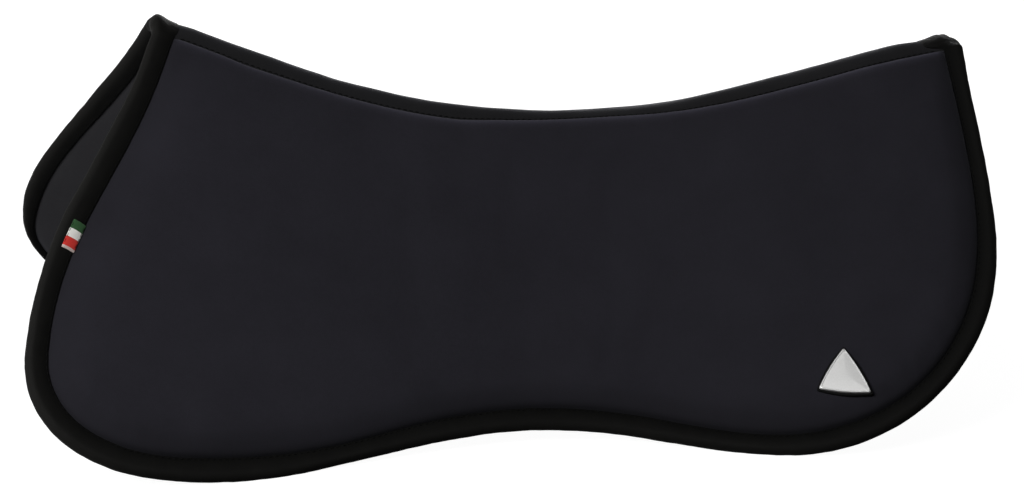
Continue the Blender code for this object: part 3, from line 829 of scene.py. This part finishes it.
def new_piece(name, points, faces, material, slot, node, weave=None, shade=None):
    """A piece that stands for one node. Nothing of it reaches below the floor.

    weave and shade are what each point of the outer sheet carries. The inner sheet carries the same."""
    points[:, 2] = np.maximum(points[:, 2], 0.0)
    mesh = bpy.data.meshes.new(name)
    mesh.from_pydata(points.tolist(), [], faces)
    mesh.validate()
    mesh.shade_smooth()
    mesh.set_sharp_from_angle(angle=RIM_ANGLE)
    mesh.materials.append(material)
    if weave is not None:
        carried = mesh.attributes.new(WEAVE, "FLOAT_VECTOR", "POINT")
        carried.data.foreach_set("vector", np.tile(np.ravel(weave), 2))
    if shade is not None:
        carried = mesh.attributes.new(SHADE, "FLOAT", "POINT")
        carried.data.foreach_set("value", np.tile(shade, 2))
    piece = placed(name, mesh)
    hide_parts(node)
    print(name, "-", len(mesh.vertices), "points")
    return piece


def bend_with_panel(piece, side):
    """Bakes the piece's placement into its mesh."""
    side_name(side, "panel")
    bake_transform(piece)


# %% [markdown]
# Each panel is a cover, a foam core and a lining, one inside the other. All three come from the
# same pattern and the same two height maps, so they fit like the layers of the real thing.

# %% Covers, foam cores and linings
# Painted shade: the cover's colour is darkened in the crease beside the tape, most where the face rises
# steeply.
SHADE_BESIDE_TAPE = (
    (0.0, -0.75), (0.0015, -0.60), (0.003, -0.42), (0.005, -0.34),
    (0.010, -0.28), (0.016, -0.08), (0.022, 0.0),
)
# Painted highlight: the cover is made paler along the roll of the spine seam.
HIGHLIGHT_BESIDE_SEAM = ((0.0, 1.8), (0.0018, 1.8), (0.0030, 0.9), (0.0042, 0.40), (0.0060, 0.15), (0.0085, 0.0))
SHADE_WINDOW = 0.0005
# Strength of the painted seam highlight, growing towards the loin, and where it fades out near the tape.
SEAM_HIGHLIGHT, HIGHLIGHT_TOWARDS_LOIN = 0.97, 1.0
HIGHLIGHT_FROM_TAPE = 0.006
FOAM_SET_BACK = 0.0045
LEAST_CREASE = 0.45
PANEL_FILL = {"suede": 0.8, "foam": 1.0}


def cover_shade():
    """How much lighter or darker the cover is, by place: painted shade in the creases beside the tape, a
    painted highlight along the spine seam's roll.
    """
    past_tape = FROM_EDGE - tape_width(EDGE_RUN)
    creased = np.maximum(along_edge(STEEPNESS, EDGE_RUN), LEAST_CREASE)
    # Painted shade in the crease beside the tape.
    shade = creased * smoothed(SHADE_BESIDE_TAPE, past_tape, SHADE_WINDOW)
    # Painted highlight along the seam's roll, stronger towards the loin.
    highlight_strength = SEAM_HIGHLIGHT + HIGHLIGHT_TOWARDS_LOIN * FLAT[:, 0]
    painted_light = smoothed(HIGHLIGHT_BESIDE_SEAM, FLAT[:, 1], SHADE_WINDOW) * ease(past_tape / HIGHLIGHT_FROM_TAPE)
    return shade + highlight_strength * painted_light


def panel_layers(side):
    """One panel's cover, foam core and lining. Hands back how far the cover stands up."""
    front, back = padded_heights(side)
    face, inside = PRESSED - front, EDGE_THICKNESS - PRESSED + back
    foam = face + CLOTH + LAYER_GAP, inside - CLOTH - LAYER_GAP, FOAM_SET_BACK
    layers = (
        ("suede_cover", (face, face + CLOTH), COVER_SUEDE, "suede", "outer_cover", cover_shade()),
        ("foam_core", foam, FOAM_GREY, "foam", "foam", None),
        ("inner_lining", (inside - CLOTH, inside), LIGHTENED_LINING_SUEDE, "lining_suede", "lining", None),
    )
    for name, depths, material, slot, node, shade in layers:
        skin = sheet_skin(side, *depths)
        piece = new_piece(side_name(side, name), *skin, material, slot, side_name(side, node), shade=shade)
        slot in PANEL_FILL
        bend_with_panel(piece, side)
    return front


FRONT_HEIGHTS = {side: panel_layers(side) for side in (LEFT, RIGHT)}

# %% [markdown]
# The tape is folded over the edge and sewn through both layers. Its section rises from the stitched
# inner edge, which is sunk into the cloth, to the round of the fold, and the inside mirrors it with
# a narrower flap. Small uneven puckers show where the tape is eased round the curves.

# %% The folded tape's section
FOLD_POINTS = 15
FACE_POINTS = 15
TAPE_SWELL = 0.0007
TAPE_FALL = 1.7
STITCH_IN = 0.0011
# Reaches of the tape's painted highlight on the fold and of the painted shade at its inner edge.
FOLD_HIGHLIGHT_REACH = 0.0065
PAINTED_SEAM_SHADE, PAINTED_SHADE_REACH = 0.25, 0.0070
PUCKER, PUCKER_LENGTHS, SHORT_SHARE = 0.00024, (0.0085, 0.0038), 0.5


def tape_top(share):
    """Depth of the tape's outer skin at shares of the way from the fold to its inner edge."""
    return (TAPE_SWELL + TAPE_SUNK) * np.clip(share, 0.0, 1.0) ** TAPE_FALL - TAPE_SWELL


def tape_section(width):
    """Distances from the edge and depths round the tape's outer skin, a row for each width."""
    width = np.asarray(width)[:, None]
    radius = EDGE_THICKNESS / 2
    share = np.linspace(1, 0, FACE_POINTS)[None, :]
    outside = radius + (width - radius) * share
    inside = radius + (width * INNER_SHARE - radius) * share[:, ::-1]
    turns = np.linspace(0, np.pi, FOLD_POINTS + 2)[None, 1:-1] + np.zeros_like(width)
    top = tape_top(share) + np.zeros_like(width)
    distances = np.hstack([outside, radius - radius * np.sin(turns), inside])
    depths = np.hstack([top, radius - (radius + TAPE_SWELL) * np.cos(turns), EDGE_THICKNESS - top[:, ::-1]])
    return distances, depths


def puckers(points, size, long, short):
    """Small uneven waves of two lengths at the points, the same for points at the same place."""
    spots = [Vector(p) for p in points.reshape(-1, 3)]
    waves = [noise.noise(p / long) + SHORT_SHARE * noise.noise(p / short) for p in spots]
    return size * np.array(waves).reshape(points.shape[:-1] + (1,))


def run_round(distances, depths):
    """The distance run round each section."""
    return np.cumsum(np.hypot(*(np.diff(v, prepend=v[:, :1]) for v in (distances, depths))), 1)


print("a tape section has", 2 * FACE_POINTS + FOLD_POINTS, "points")

# %% [markdown]
# The section is laid every three millimetres along the free edge. Where a panel's tape meets the
# tape over the strip's end, both use the direction that halves the corner between strip and panel,
# so that their ends meet face to face. Within a centimetre the section turns to stand square on its
# own cloth. The table says how far the fold is pushed in or out along each side.

# %% Panel bindings
TAPE_STEP = 0.0030
TURN_REACH = 0.012
FOLD_EASING = 0.008
FOLD_OUT = {
    LEFT: thousandths(
        (0, -1), (17, -1.2), (33, -1.4), (50, -0.8), (67, -0.3), (100, -0.8), (117, 0.3), (133, 0.2),
        (150, -0.3), (167, -1), (200, -1.8), (217, -1.5), (250, -0.5), (300, -0.5), (317, -0.9),
        (350, 0), (383, -0.2), (400, -1.4), (417, -2.5), (433, -2.1), (467, -0.8), (483, -0.2),
        (550, 0.1), (600, -0.2), (633, -1.2), (667, -1.6), (683, -0.9), (717, -0.4), (750, -0.8),
        (783, -0.7), (833, 0.2), (867, -0.2), (900, -1.4), (950, -1.6), (967, -1.9), (1000, -0.5),
    ),
    RIGHT: thousandths(
        (0, 1.5), (17, 1.6), (33, 2.4), (67, 3), (100, 2), (133, 2), (150, 2.4), (183, 2.2), (200, 0.4),
        (217, -1.9), (233, -3.2), (260, -2), (300, 0), (1000, 0),
    ),
}


def strip_top(x, across):
    """Points of the strip's top. across runs from -1 at its left edge to 1 at its right edge."""
    crown = towards_seat(x, STRIP_CROWN_ENDS, STRIP_CROWN_SEAT) + smoothed(TOP_LIFT, x, LIFT_WINDOW)
    rise = spine_height(x) + crown * (1 - across**2) + smoothed(SEAM_LIFT, x, LIFT_WINDOW) * across**2
    return np.stack([x, across * strip_width(x) / 2, rise], -1)


def strip_normal(x, across):
    along = strip_top(x + NUDGE, across) - strip_top(x - NUDGE, across)
    return unit(np.cross(along, strip_top(x, across + NUDGE) - strip_top(x, across - NUDGE)))


def on_strip(x, across, depth):
    return strip_top(x, across) - strip_normal(x, across) * np.asarray(depth)[..., None]


def corner_normal(x):
    """The direction that halves the corner between the strip and the right panel."""
    panel = face_frame(x, np.zeros_like(x))[2]
    middle = unit(panel + strip_normal(x, np.ones_like(x)))
    return middle / (middle * panel).sum(-1, keepdims=True)


def tape_surface(run, distances, depths):
    """Points of the right panel's tape, for sections laid at distances along the free edge."""
    spots = edge_at(run)[:, None] + inward(run)[:, None] * distances[..., None]
    x, s = spots[..., 0], np.maximum(spots[..., 1], 0.0)
    square = face_frame(x, s)[2]
    to_end = np.minimum(run, EDGE_LENGTH - run)[:, None]
    share = 1 - ease(to_end / TURN_REACH)[..., None]
    normal = square * (1 - share) + corner_normal(x) * share
    return on_face(x, s) - normal * depths[..., None]


def tape_points(run, side):
    """The tape's outer skin, the distance along it and the distance round its section."""
    width = tape_width(run)
    distances, depths = tape_section(width)
    out = along_edge(FOLD_OUT[side], run, FOLD_EASING)[:, None]
    distances = distances - out * np.maximum(1 - distances / (width[:, None] * INNER_SHARE), 0)
    outer = on_side(tape_surface(run, distances, depths), side)
    return outer, run[:, None] + 0 * distances, run_round(distances, depths)


def grid_faces(rows, columns):
    first = np.arange(rows * columns).reshape(rows, columns)[:-1, :-1].ravel()
    return np.stack([first, first + 1, first + columns + 1, first + columns], 1)


def tape_piece(name, outer, along, around, node):
    """A closed skin through a grid of tape points."""
    normals = unit(np.cross(np.gradient(outer, axis=0), np.gradient(outer, axis=1)))
    if ((outer - outer.mean(1, keepdims=True)) * normals).sum() < 0:
        normals = -normals
    outer = outer + normals * puckers(outer, PUCKER, *PUCKER_LENGTHS)
    inner = outer - normals * TAPE
    faces = grid_faces(*outer.shape[:2])
    towards = normals.reshape(-1, 3)[faces[:, 0]]
    skin = closed_skin(outer.reshape(-1, 3), inner.reshape(-1, 3), faces, towards)
    from_fold = around - around[:, [FACE_POINTS + FOLD_POINTS // 2]]
    # Painted highlight along the fold's round, painted shade along the crevice at the tape's stitched inner
    # edge.
    painted_light = np.exp(-((from_fold / FOLD_HIGHLIGHT_REACH) ** 2)) - PAINTED_SEAM_SHADE * ease(1 - around / PAINTED_SHADE_REACH)
    weave = np.stack([along, around, painted_light], -1)
    return new_piece(name, *skin, TAPE_BLACK, "binding", node, weave)


def panel_binding(side):
    run = np.linspace(0, EDGE_LENGTH, round(EDGE_LENGTH / TAPE_STEP) + 1)
    grids = tape_points(run, side)
    piece = tape_piece(side_name(side, "edge_tape"), *grids, side_name(side, "edge_binding"))
    bend_with_panel(piece, side)


for side in (LEFT, RIGHT):
    panel_binding(side)

# %% [markdown]
# The strip over the spine is a narrow padded band. Its top cloth is crowned and has rounded
# shoulders that turn down into the seams. Its foam and its lining lie under it, each set in from
# the seam, so that they stay clear of the panels' layers.

# %% The strip over the spine
STRIP_STEP = 0.0040
STRIP_COLUMNS = 33
UNDER_TAPE = {-1: 0.0055, 1: 0.0110}
SHOULDER = 0.0032
SHOULDER_DROP = 0.0016
STRIP_DEPTH = 0.0016
STRIP_LINING_DEPTH = EDGE_THICKNESS - PRESSED
STRIP_WAVES, STRIP_WAVE_LENGTHS = 0.00030, (0.022, 0.009)
CLOTH_SET_IN = 0.0004
LINING_CLEAR = 0.0011


def lining_set_in(x):
    """How far the strip's lining ends short of the seam, to stay clear of the panels' linings."""
    panel, strip = face_frame(x, np.zeros_like(x))[2], strip_normal(x, np.ones_like(x))
    return STRIP_LINING_DEPTH * (panel - strip)[..., 1] + LINING_CLEAR


def spine_strip():
    count = round((REAR_END - FRONT_END) / STRIP_STEP)
    xs = np.linspace(FRONT_END + UNDER_TAPE[-1], REAR_END - UNDER_TAPE[1], count + 1)
    acrosses = np.sin(np.linspace(-np.pi / 2, np.pi / 2, STRIP_COLUMNS))
    x, across = np.meshgrid(xs, acrosses, indexing="ij")
    from_side = (1 - np.abs(across)) * strip_width(x) / 2
    waves = puckers(strip_top(x, across), STRIP_WAVES, *STRIP_WAVE_LENGTHS)[..., 0]
    shoulder = SHOULDER_DROP * (1 - quarter_round(from_side / SHOULDER))
    depth = STRIP_DEPTH + shoulder + waves * ease(from_side / SHOULDER)
    foam = depth + CLOTH + LAYER_GAP, STRIP_LINING_DEPTH - CLOTH - LAYER_GAP
    lining, short = (STRIP_LINING_DEPTH - CLOTH, STRIP_LINING_DEPTH), lining_set_in(x)
    layers = (
        ("strip_top_cloth", depth, depth + CLOTH, CLOTH_SET_IN, SHADED_STRIP_SUEDE, "suede", "spine_strip_top"),
        ("strip_foam", *foam, FOAM_SET_BACK, FOAM_GREY, "foam", "spine_padding"),
        ("strip_inner_cloth", *lining, short, LIGHTENED_LINING_SUEDE, "lining_suede", "spine_strip_lining"),
    )
    for name, upper, lower, set_in, material, slot, node in layers:
        inset = across * (1 - 2 * set_in / strip_width(x))
        sheets = (on_strip(x, inset, deep).reshape(-1, 3) for deep in (upper, lower))
        skin = closed_skin(*sheets, grid_faces(*x.shape), (0, 0, 1))
        piece = new_piece(name, *skin, material, slot, node)
        slot == "foam"
        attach(piece, "spine")


spine_strip()

# %% [markdown]
# At both ends the tape goes on over the strip, from one panel to the other. The folded layers pile
# up there: at the loin they make a thick lump that stands above the strip, and at the withers a
# smaller knob.

# %% Tapes over the strip's ends
ARCH_COLUMNS = 49
ARCH_WIDTHS = {-1: 0.0195, 1: 0.0262}
ABOVE_STRIP = {
    -1: thousandths((0, 2.4), (4.7, 2.9), (6.5, 2.8), (12.8, 1.1), (19.5, 0.2)),
    1: thousandths((0, -1.6), (4.7, -1), (6.4, -0.2), (12.7, 1.8), (19, 0.8), (26.2, 0.2)),
}
SAG = {-1: 0.0000, 1: 0.0030}
ARCH_IN = {-1: 0.0012, 1: 0.0000}
SAG_REACH = 0.0120
PILE_WINDOW = 0.0008
CORNER_FROM, SHIFT_FROM = 0.55, 0.4


def arch_section(end, widths, share):
    """The tape's sections over the strip. share is 0 where they are plain and 1 where piled up."""
    distances, depths = tape_section(widths)
    share = share[:, None]
    middle = EDGE_THICKNESS / 2
    piled, crest = (STRIP_DEPTH - smoothed(ABOVE_STRIP[end], d, PILE_WINDOW) for d in (distances, middle))
    outside, fold = np.split(depths, [FACE_POINTS, FACE_POINTS + FOLD_POINTS], axis=1)[:2]
    outside += (piled[:, :FACE_POINTS] - outside) * share
    fold -= np.maximum(middle - fold, 0) * share * ((middle - crest) / (middle + TAPE_SWELL) - 1)
    sag = SAG[end] * np.maximum(1 - distances / SAG_REACH, 0) ** 2
    return distances, depths + sag * share


def arch_binding(end):
    """The tape over one end of the strip. end is -1 at the withers and 1 at the loin."""
    name, edge_x, corner_run = ("front", FRONT_END, 0.0) if end < 0 else ("rear", REAR_END, EDGE_LENGTH)
    slope = float(np.diff(spine_height(np.array([edge_x - NUDGE, edge_x + NUDGE])))[0]) / (2 * NUDGE)
    corner_width = float(tape_width(corner_run))
    acrosses = np.linspace(-1, 1, ARCH_COLUMNS)
    middle = ease(1 - np.abs(acrosses) ** 3)
    widths = corner_width + (ARCH_WIDTHS[end] - corner_width) * middle
    distances, depths = arch_section(end, widths, middle)
    drawn_in = ARCH_IN[end] * middle[:, None] * np.maximum(1 - distances / ARCH_WIDTHS[end], 0)
    x = edge_x - end * (distances + drawn_in) / math.hypot(1, slope)
    across = acrosses[:, None] + 0 * distances
    corner = corner_normal(x)
    corner[..., 1] *= np.sign(across)
    share = ease((np.abs(across) - CORNER_FROM) / (1 - CORNER_FROM))[..., None]
    normal = strip_normal(x, across) * (1 - share) + corner * share
    outer = strip_top(x, across) - normal * depths[..., None]
    for side, row in ((LEFT, 0), (RIGHT, -1)):
        shift = tape_points(np.array([corner_run]), side)[0][0] - outer[row]
        near_corner = ease((acrosses * side - SHIFT_FROM) / (1 - SHIFT_FROM))[:, None, None]
        outer = outer + shift[None] * near_corner
    around = run_round(distances, depths)
    piece = tape_piece(f"{name}_arch_tape", outer, outer[..., 1], around, f"{name}_arch_binding")
    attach(piece, "spine")


for end in (-1, 1):
    arch_binding(end)

# %% [markdown]
# Stitches are modelled one by one: each is a short thread whose ends dive into the cloth. A row of
# them holds the tape, outside and inside, and another lies in the seam on each side of the strip.

# %% Stitches
STITCH = 0.0030
STITCH_GAP = 0.0011
THREAD = 0.0007
STITCH_RINGS, STITCH_SIDES = 5, 6
ARCH_HEIGHT, ARCH_SUNK = 0.85, 0.45
STITCH_TIP, STITCH_LEAST = 0.12, 0.2
DITCH_IN = 0.0014
BINDING_ENDS, STRIP_ENDS = 0.004, 0.018
BINDING_SAMPLES, STRIP_SAMPLES, TAB_SAMPLES = 700, 500, 60


def tube_faces(rings, sides):
    """Quads that join rings of points, one ring after the other."""
    return [
        (ring * sides + i, ring * sides + j, (ring + 1) * sides + j, (ring + 1) * sides + i)
        for ring in range(rings - 1)
        for i, j in zip(range(sides), [*range(1, sides), 0])
    ]


def stitch_row(line, normals, thread=THREAD):
    """Points and faces of separate stitches along a line, each an arched thread."""
    run = np.r_[0, np.cumsum(np.linalg.norm(np.diff(line, axis=0), axis=1))]
    starts = np.arange(STITCH_GAP, run[-1] - STITCH - STITCH_GAP, STITCH + STITCH_GAP)
    shares = np.linspace(0, 1, STITCH_RINGS)
    arch = thread * (ARCH_HEIGHT * np.sin(np.pi * shares) - ARCH_SUNK)
    taper = np.sqrt(np.sin(np.pi * (STITCH_TIP + (1 - 2 * STITCH_TIP) * shares)))
    girth = thread / 2 * np.maximum(taper, STITCH_LEAST)
    turns = np.arange(STITCH_SIDES)[:, None] / STITCH_SIDES * 2 * np.pi
    marks = starts[:, None] + shares[None, :] * STITCH
    centre, up = (np.stack([np.interp(marks, run, row) for row in rows.T], -1) for rows in (line, normals))
    up = unit(up)
    aside = unit(np.cross(unit(np.gradient(centre, axis=1)), up))
    centre = centre + up * arch[None, :, None]
    spokes = aside[:, :, None] * np.cos(turns) + up[:, :, None] * np.sin(turns)
    points = centre[:, :, None] + spokes * girth[None, :, None, None]
    each = STITCH_RINGS * STITCH_SIDES
    ends = [range(STITCH_SIDES)[::-1], range(each - STITCH_SIDES, each)]
    faces = [*tube_faces(STITCH_RINGS, STITCH_SIDES), *ends]
    every = [tuple(i + n * each for i in face) for n in range(len(starts)) for face in faces]
    return points.reshape(-1, 3), every


def joined(first, second):
    """Two meshes' points and faces as one."""
    (points, faces), (more_points, more_faces) = first, second
    moved = [tuple(i + len(points) for i in face) for face in more_faces]
    return np.vstack([points, more_points]), [*faces, *moved]


def binding_stitches(side):
    run = np.linspace(BINDING_ENDS, EDGE_LENGTH - BINDING_ENDS, BINDING_SAMPLES)
    width = tape_width(run)
    rows = []
    for reach, sign in ((width, 1), (width * INNER_SHARE, -1)):
        at = (reach - STITCH_IN)[:, None]
        share = (at - EDGE_THICKNESS / 2) / (reach[:, None] - EDGE_THICKNESS / 2)
        depth = tape_top(share) if sign > 0 else EDGE_THICKNESS - tape_top(share)
        line, lower = (on_side(tape_surface(run, at, depth + d)[:, 0], side) for d in (0, NUDGE))
        rows.append(stitch_row(line, unit(line - lower) * sign))
    name, node = side_name(side, "binding_stitches"), side_name(side, "binding_thread")
    bend_with_panel(new_piece(name, *joined(*rows), THREAD_BLACK, "thread", node), side)


def strip_stitches(side):
    x = np.linspace(FRONT_END + STRIP_ENDS, REAR_END - STRIP_ENDS, STRIP_SAMPLES)
    across = 1 - 2 * DITCH_IN / strip_width(x)
    line, out = on_strip(x, across, STRIP_DEPTH + THREAD / 4 + 0 * x), strip_normal(x, across)
    row = stitch_row(on_side(line, side), on_side(out, side))
    name, node = side_name(side, "strip_stitches"), side_name(side, "spine_seam")
    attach(new_piece(name, *row, THREAD_BLACK, "thread", node), "spine")


for side in (LEFT, RIGHT):
    binding_stitches(side)
    strip_stitches(side)

# %% [markdown]
# A small woven ribbon in three colours is sewn flat on the withers binding. Its length is divided
# between green, white and red yarn, with a thin pale hem at the lower end. The colour follows the
# distance along the ribbon that its mesh carries.

# %% Ribbon tab
TAB_WIDTH, TAB_LENGTH, TAB_THICK = 0.0088, 0.0210, 0.0007
TAB_PAST_SEAM = 0.0005
TAB_DOWN = 0.5277
TAB_THREAD = 0.0003
# Where each colour ends, as a share of the length: green, white, red and the hem's pale pink.
TAB_COLOURS = (
    (0.31, (0.012, 0.080, 0.015)), (0.60, (0.93, 0.92, 0.87)),
    (0.92, (0.68, 0.020, 0.010)), (1.00, (0.62, 0.50, 0.46)),
)
TAB_PICK = 0.00042
TAB_GRID = 33, 15
TAB_END_ROUND, TAB_SIDE_ROUND = (0.00035, 0.93), (0.0003, 0.88)
TAB_BOW, TAB_BASE_BOW = 0.0005, 0.6
TAB_CLEAR, TAB_LIES_AT = 0.0007, 0.0004


def ribbon_finish():
    finish = Finish("woven ribbon in three colours")
    along, across, _ = finish.woven()
    weave = 0.5 + 0.5 * finish.waves(along, TAB_PICK) * finish.waves(across, TAB_PICK)
    ragged = along * (1 / TAB_LENGTH) + 0.02 * (finish.clouds(0.0005) - 0.5)
    colour = TAB_COLOURS[0][1]
    for (share, _), (_, after) in zip(TAB_COLOURS, TAB_COLOURS[1:]):
        colour = finish.between(colour, after, ragged > share)
    return finish.shade(
        Base_Color=finish.scaled(colour, 0.82 + 0.18 * weave),
        Roughness=0.7 + 0.1 * weave,
        Sheen_Weight=0.15,
        Normal=finish.dents(weave, 0.00012, 0.8),
    )


def tab_spots(along, across, height):
    """Points above the withers binding, counted from the tab's middle along and across the edge."""
    run = OUTLINE_RUN[int(np.argmax(OUTLINE[:, 1] > TAB_DOWN * PANEL_DROP))] + along
    width = tape_width(run)
    at = width + TAB_PAST_SEAM - TAB_WIDTH / 2 + across
    depth = tape_top((at - EDGE_THICKNESS / 2) / (width - EDGE_THICKNESS / 2)) - height
    return on_side(tape_surface(run, at[:, None], depth[:, None])[:, 0], LEFT)


def rounded_edge(share, fall, start):
    """How far the ribbon's top falls near an edge. share runs from 0 in the middle to 1 there."""
    return fall * np.maximum(share - start, 0) / (1 - start)


def ribbon_tab():
    a, c = np.meshgrid(*(np.linspace(-0.5, 0.5, count) for count in TAB_GRID), indexing="ij")
    a, c = a.ravel(), c.ravel()
    rounded = rounded_edge(np.abs(a) * 2, *TAB_END_ROUND) + rounded_edge(np.abs(c) * 2, *TAB_SIDE_ROUND)
    bow = TAB_BOW * (1 - (2 * c) ** 2)
    heights = TAB_THICK + TAB_CLEAR + bow - rounded, TAB_LIES_AT + bow * TAB_BASE_BOW
    top, base = (tab_spots(a * TAB_LENGTH, c * TAB_WIDTH, height) for height in heights)
    skin = closed_skin(top, base, grid_faces(*TAB_GRID), up_and_out(LEFT))
    weave = np.stack([(a + 0.5) * TAB_LENGTH, (c + 0.5) * TAB_WIDTH, 0 * a], -1)
    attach(new_piece("ribbon_tab", *skin, ribbon_finish(), "ribbon", "woven_tab", weave), "left_panel")


ribbon_tab()

# %% [markdown]
# A small stitch row along each of the ribbon's long sides holds it, in the same black thread as the
# tape.

# %% Tab stitches
TAB_STITCH_IN, TAB_STITCH_END = 0.0005, 0.001
TAB_STITCH_HEIGHT = 0.0016


def tab_stitches():
    reach = TAB_LENGTH / 2 - TAB_STITCH_END
    along = np.linspace(-reach, reach, TAB_SAMPLES)
    rows = []
    for across in (TAB_STITCH_IN - TAB_WIDTH / 2, TAB_WIDTH / 2 - TAB_STITCH_IN):
        line, under = (tab_spots(along, across, TAB_STITCH_HEIGHT - d + 0 * along) for d in (0, NUDGE))
        rows.append(stitch_row(line, unit(line - under), TAB_THREAD))
    piece = new_piece("tab_stitches", *joined(*rows), THREAD_BLACK, "thread", "tab_stitching")
    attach(piece, "left_panel")


tab_stitches()

# %% [markdown]
# A small metal badge sits low on the left rear lobe: a triangle with bowed sides, plain, with a
# raised rim. A dark backing shows round it as a thin border. Both are shaped to the cover.

# %% Badge
BADGE_SIDE, BADGE_BULGE = 0.0340, 0.0012
BADGE_CENTRE = np.array((0.6374, 0.7097)) * (PAD_LENGTH / 2, PANEL_DROP)
BADGE_TURN = math.radians(11)
BADGE_BORDER = 0.0017
BADGE_PULLS = ((0.0023, 0.0), (0.0, -0.0014), (0.0, 0.0))
BACKING_THICK, PLATE_THICK = 0.0010, 0.0016
BADGE_CORNER = 0.045
CORNER_POINTS, BADGE_SIDE_POINTS = 4, 25
BADGE_RIM_ANGLE = math.radians(38)
UNDER_BADGE = np.linalg.norm(FLAT - BADGE_CENTRE, axis=1) < 0.016
COVER_AT_BADGE = float(FRONT_HEIGHTS[LEFT][UNDER_BADGE].max())
# Each ring of a section: its share of the outline's size, and its height over the cover.
PLATE_TOP = BACKING_THICK + PLATE_THICK
BACKING_RINGS = ((1.0, -0.0030), (1.0, BACKING_THICK * 0.6), (0.985, BACKING_THICK), (0.30, BACKING_THICK))
PLATE_RINGS = (
    (1.0, BACKING_THICK * 0.6), (1.0, PLATE_TOP - 0.0006), (0.985, PLATE_TOP - 0.0002), (0.965, PLATE_TOP),
    (0.915, PLATE_TOP), (0.895, PLATE_TOP - 0.0003), (0.30, PLATE_TOP - 0.0001),
)
SILVER = grained(
    "satin silver metal", (0.0009, 3.0, 0.6), (0.80, 0.80, 0.79), (0.95, 0.95, 0.94),
    (0.42, 0.14), (0.00003, 0.4), Metallic=0.75,
)
BACKING_BLACK = grained(
    "matt black backing", (0.0006,), (0.004, 0.004, 0.004), (0.012, 0.012, 0.012),
    (0.85, 0.1), (0.00008, 0.5), Specular_IOR_Level=0.05,
)


def bowed_triangle(grow):
    """Outline of the badge about its centre, three bowed sides with small blunt corners."""
    angles = np.radians([[90], [210], [330]])
    corners = np.hstack([np.cos(angles), np.sin(angles)]) * BADGE_SIDE / math.sqrt(3) + BADGE_PULLS
    t = np.linspace(BADGE_CORNER, 1 - BADGE_CORNER, BADGE_SIDE_POINTS)[:, None]
    sides = [
        a * (1 - t) + b * t + unit((a + b) / 2) * BADGE_BULGE * (1 - (2 * t - 1) ** 2)
        for a, b in zip(corners, np.roll(corners, -1, axis=0))
    ]
    blunt = np.linspace(0, 1, CORNER_POINTS + 2)[1:-1, None]
    outline = []
    for k, side in enumerate(sides):
        corner, after = corners[(k + 1) % 3], sides[(k + 1) % 3][0]
        outline.append(side)
        outline.append((1 - blunt) ** 2 * side[-1] + 2 * blunt * (1 - blunt) * corner + blunt**2 * after)
    outline = np.vstack(outline)
    return outline * (1 + grow / np.linalg.norm(outline, axis=1, keepdims=True))


def badge_layer(name, outline, rings, material, slot, node):
    """A closed plate on the cover, built of rings, each the outline at a share of its size."""
    _, down, outward = (v[0] for v in face_frame(*BADGE_CENTRE[:, None]))
    turn = np.array(Matrix.Rotation(BADGE_TURN, 3, Vector(outward)))
    directions = turn @ np.cross(outward, unit(down)), turn @ -unit(down)
    steps = np.vstack([pattern_steps(*BADGE_CENTRE[:, None], d[None]) for d in directions])
    flat = np.vstack([*(outline * share for share, _ in rings), np.zeros((2, 2))])
    heights = np.r_[np.repeat([height for _, height in rings], len(outline)), rings[0][1], rings[-1][1]]
    spots = BADGE_CENTRE + flat @ steps
    points = on_side(on_panel(*spots.T, PRESSED - COVER_AT_BADGE - heights), LEFT)
    count, last, ends = len(outline), (len(rings) - 1) * len(outline), len(rings) * len(outline)
    under = [((i + 1) % count, i, ends) for i in range(count)]
    over = [(last + i, last + (i + 1) % count, ends + 1) for i in range(count)]
    faces = [*tube_faces(len(rings), count), *under, *over]
    piece = new_piece(name, points, faces, material, slot, node)
    piece.data.set_sharp_from_angle(angle=BADGE_RIM_ANGLE)
    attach(piece, "left_panel")


border, plate = bowed_triangle(BADGE_BORDER), bowed_triangle(0.0)
badge_layer("badge_border", border, BACKING_RINGS, BACKING_BLACK, "badge_backing", "badge_backing")
badge_layer("badge_metal_plate", plate, PLATE_RINGS, SILVER, "badge_metal", "badge_plate")

# %% Sizes and finish
boxes = {"cad": [list(corner) for corner in CAD_BOX], "visual": [list(corner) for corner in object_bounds()]}
for name, (low, high) in boxes.items():
    print(name, "box in mm:", [round((b - a) * 1000, 1) for a, b in zip(low, high)])
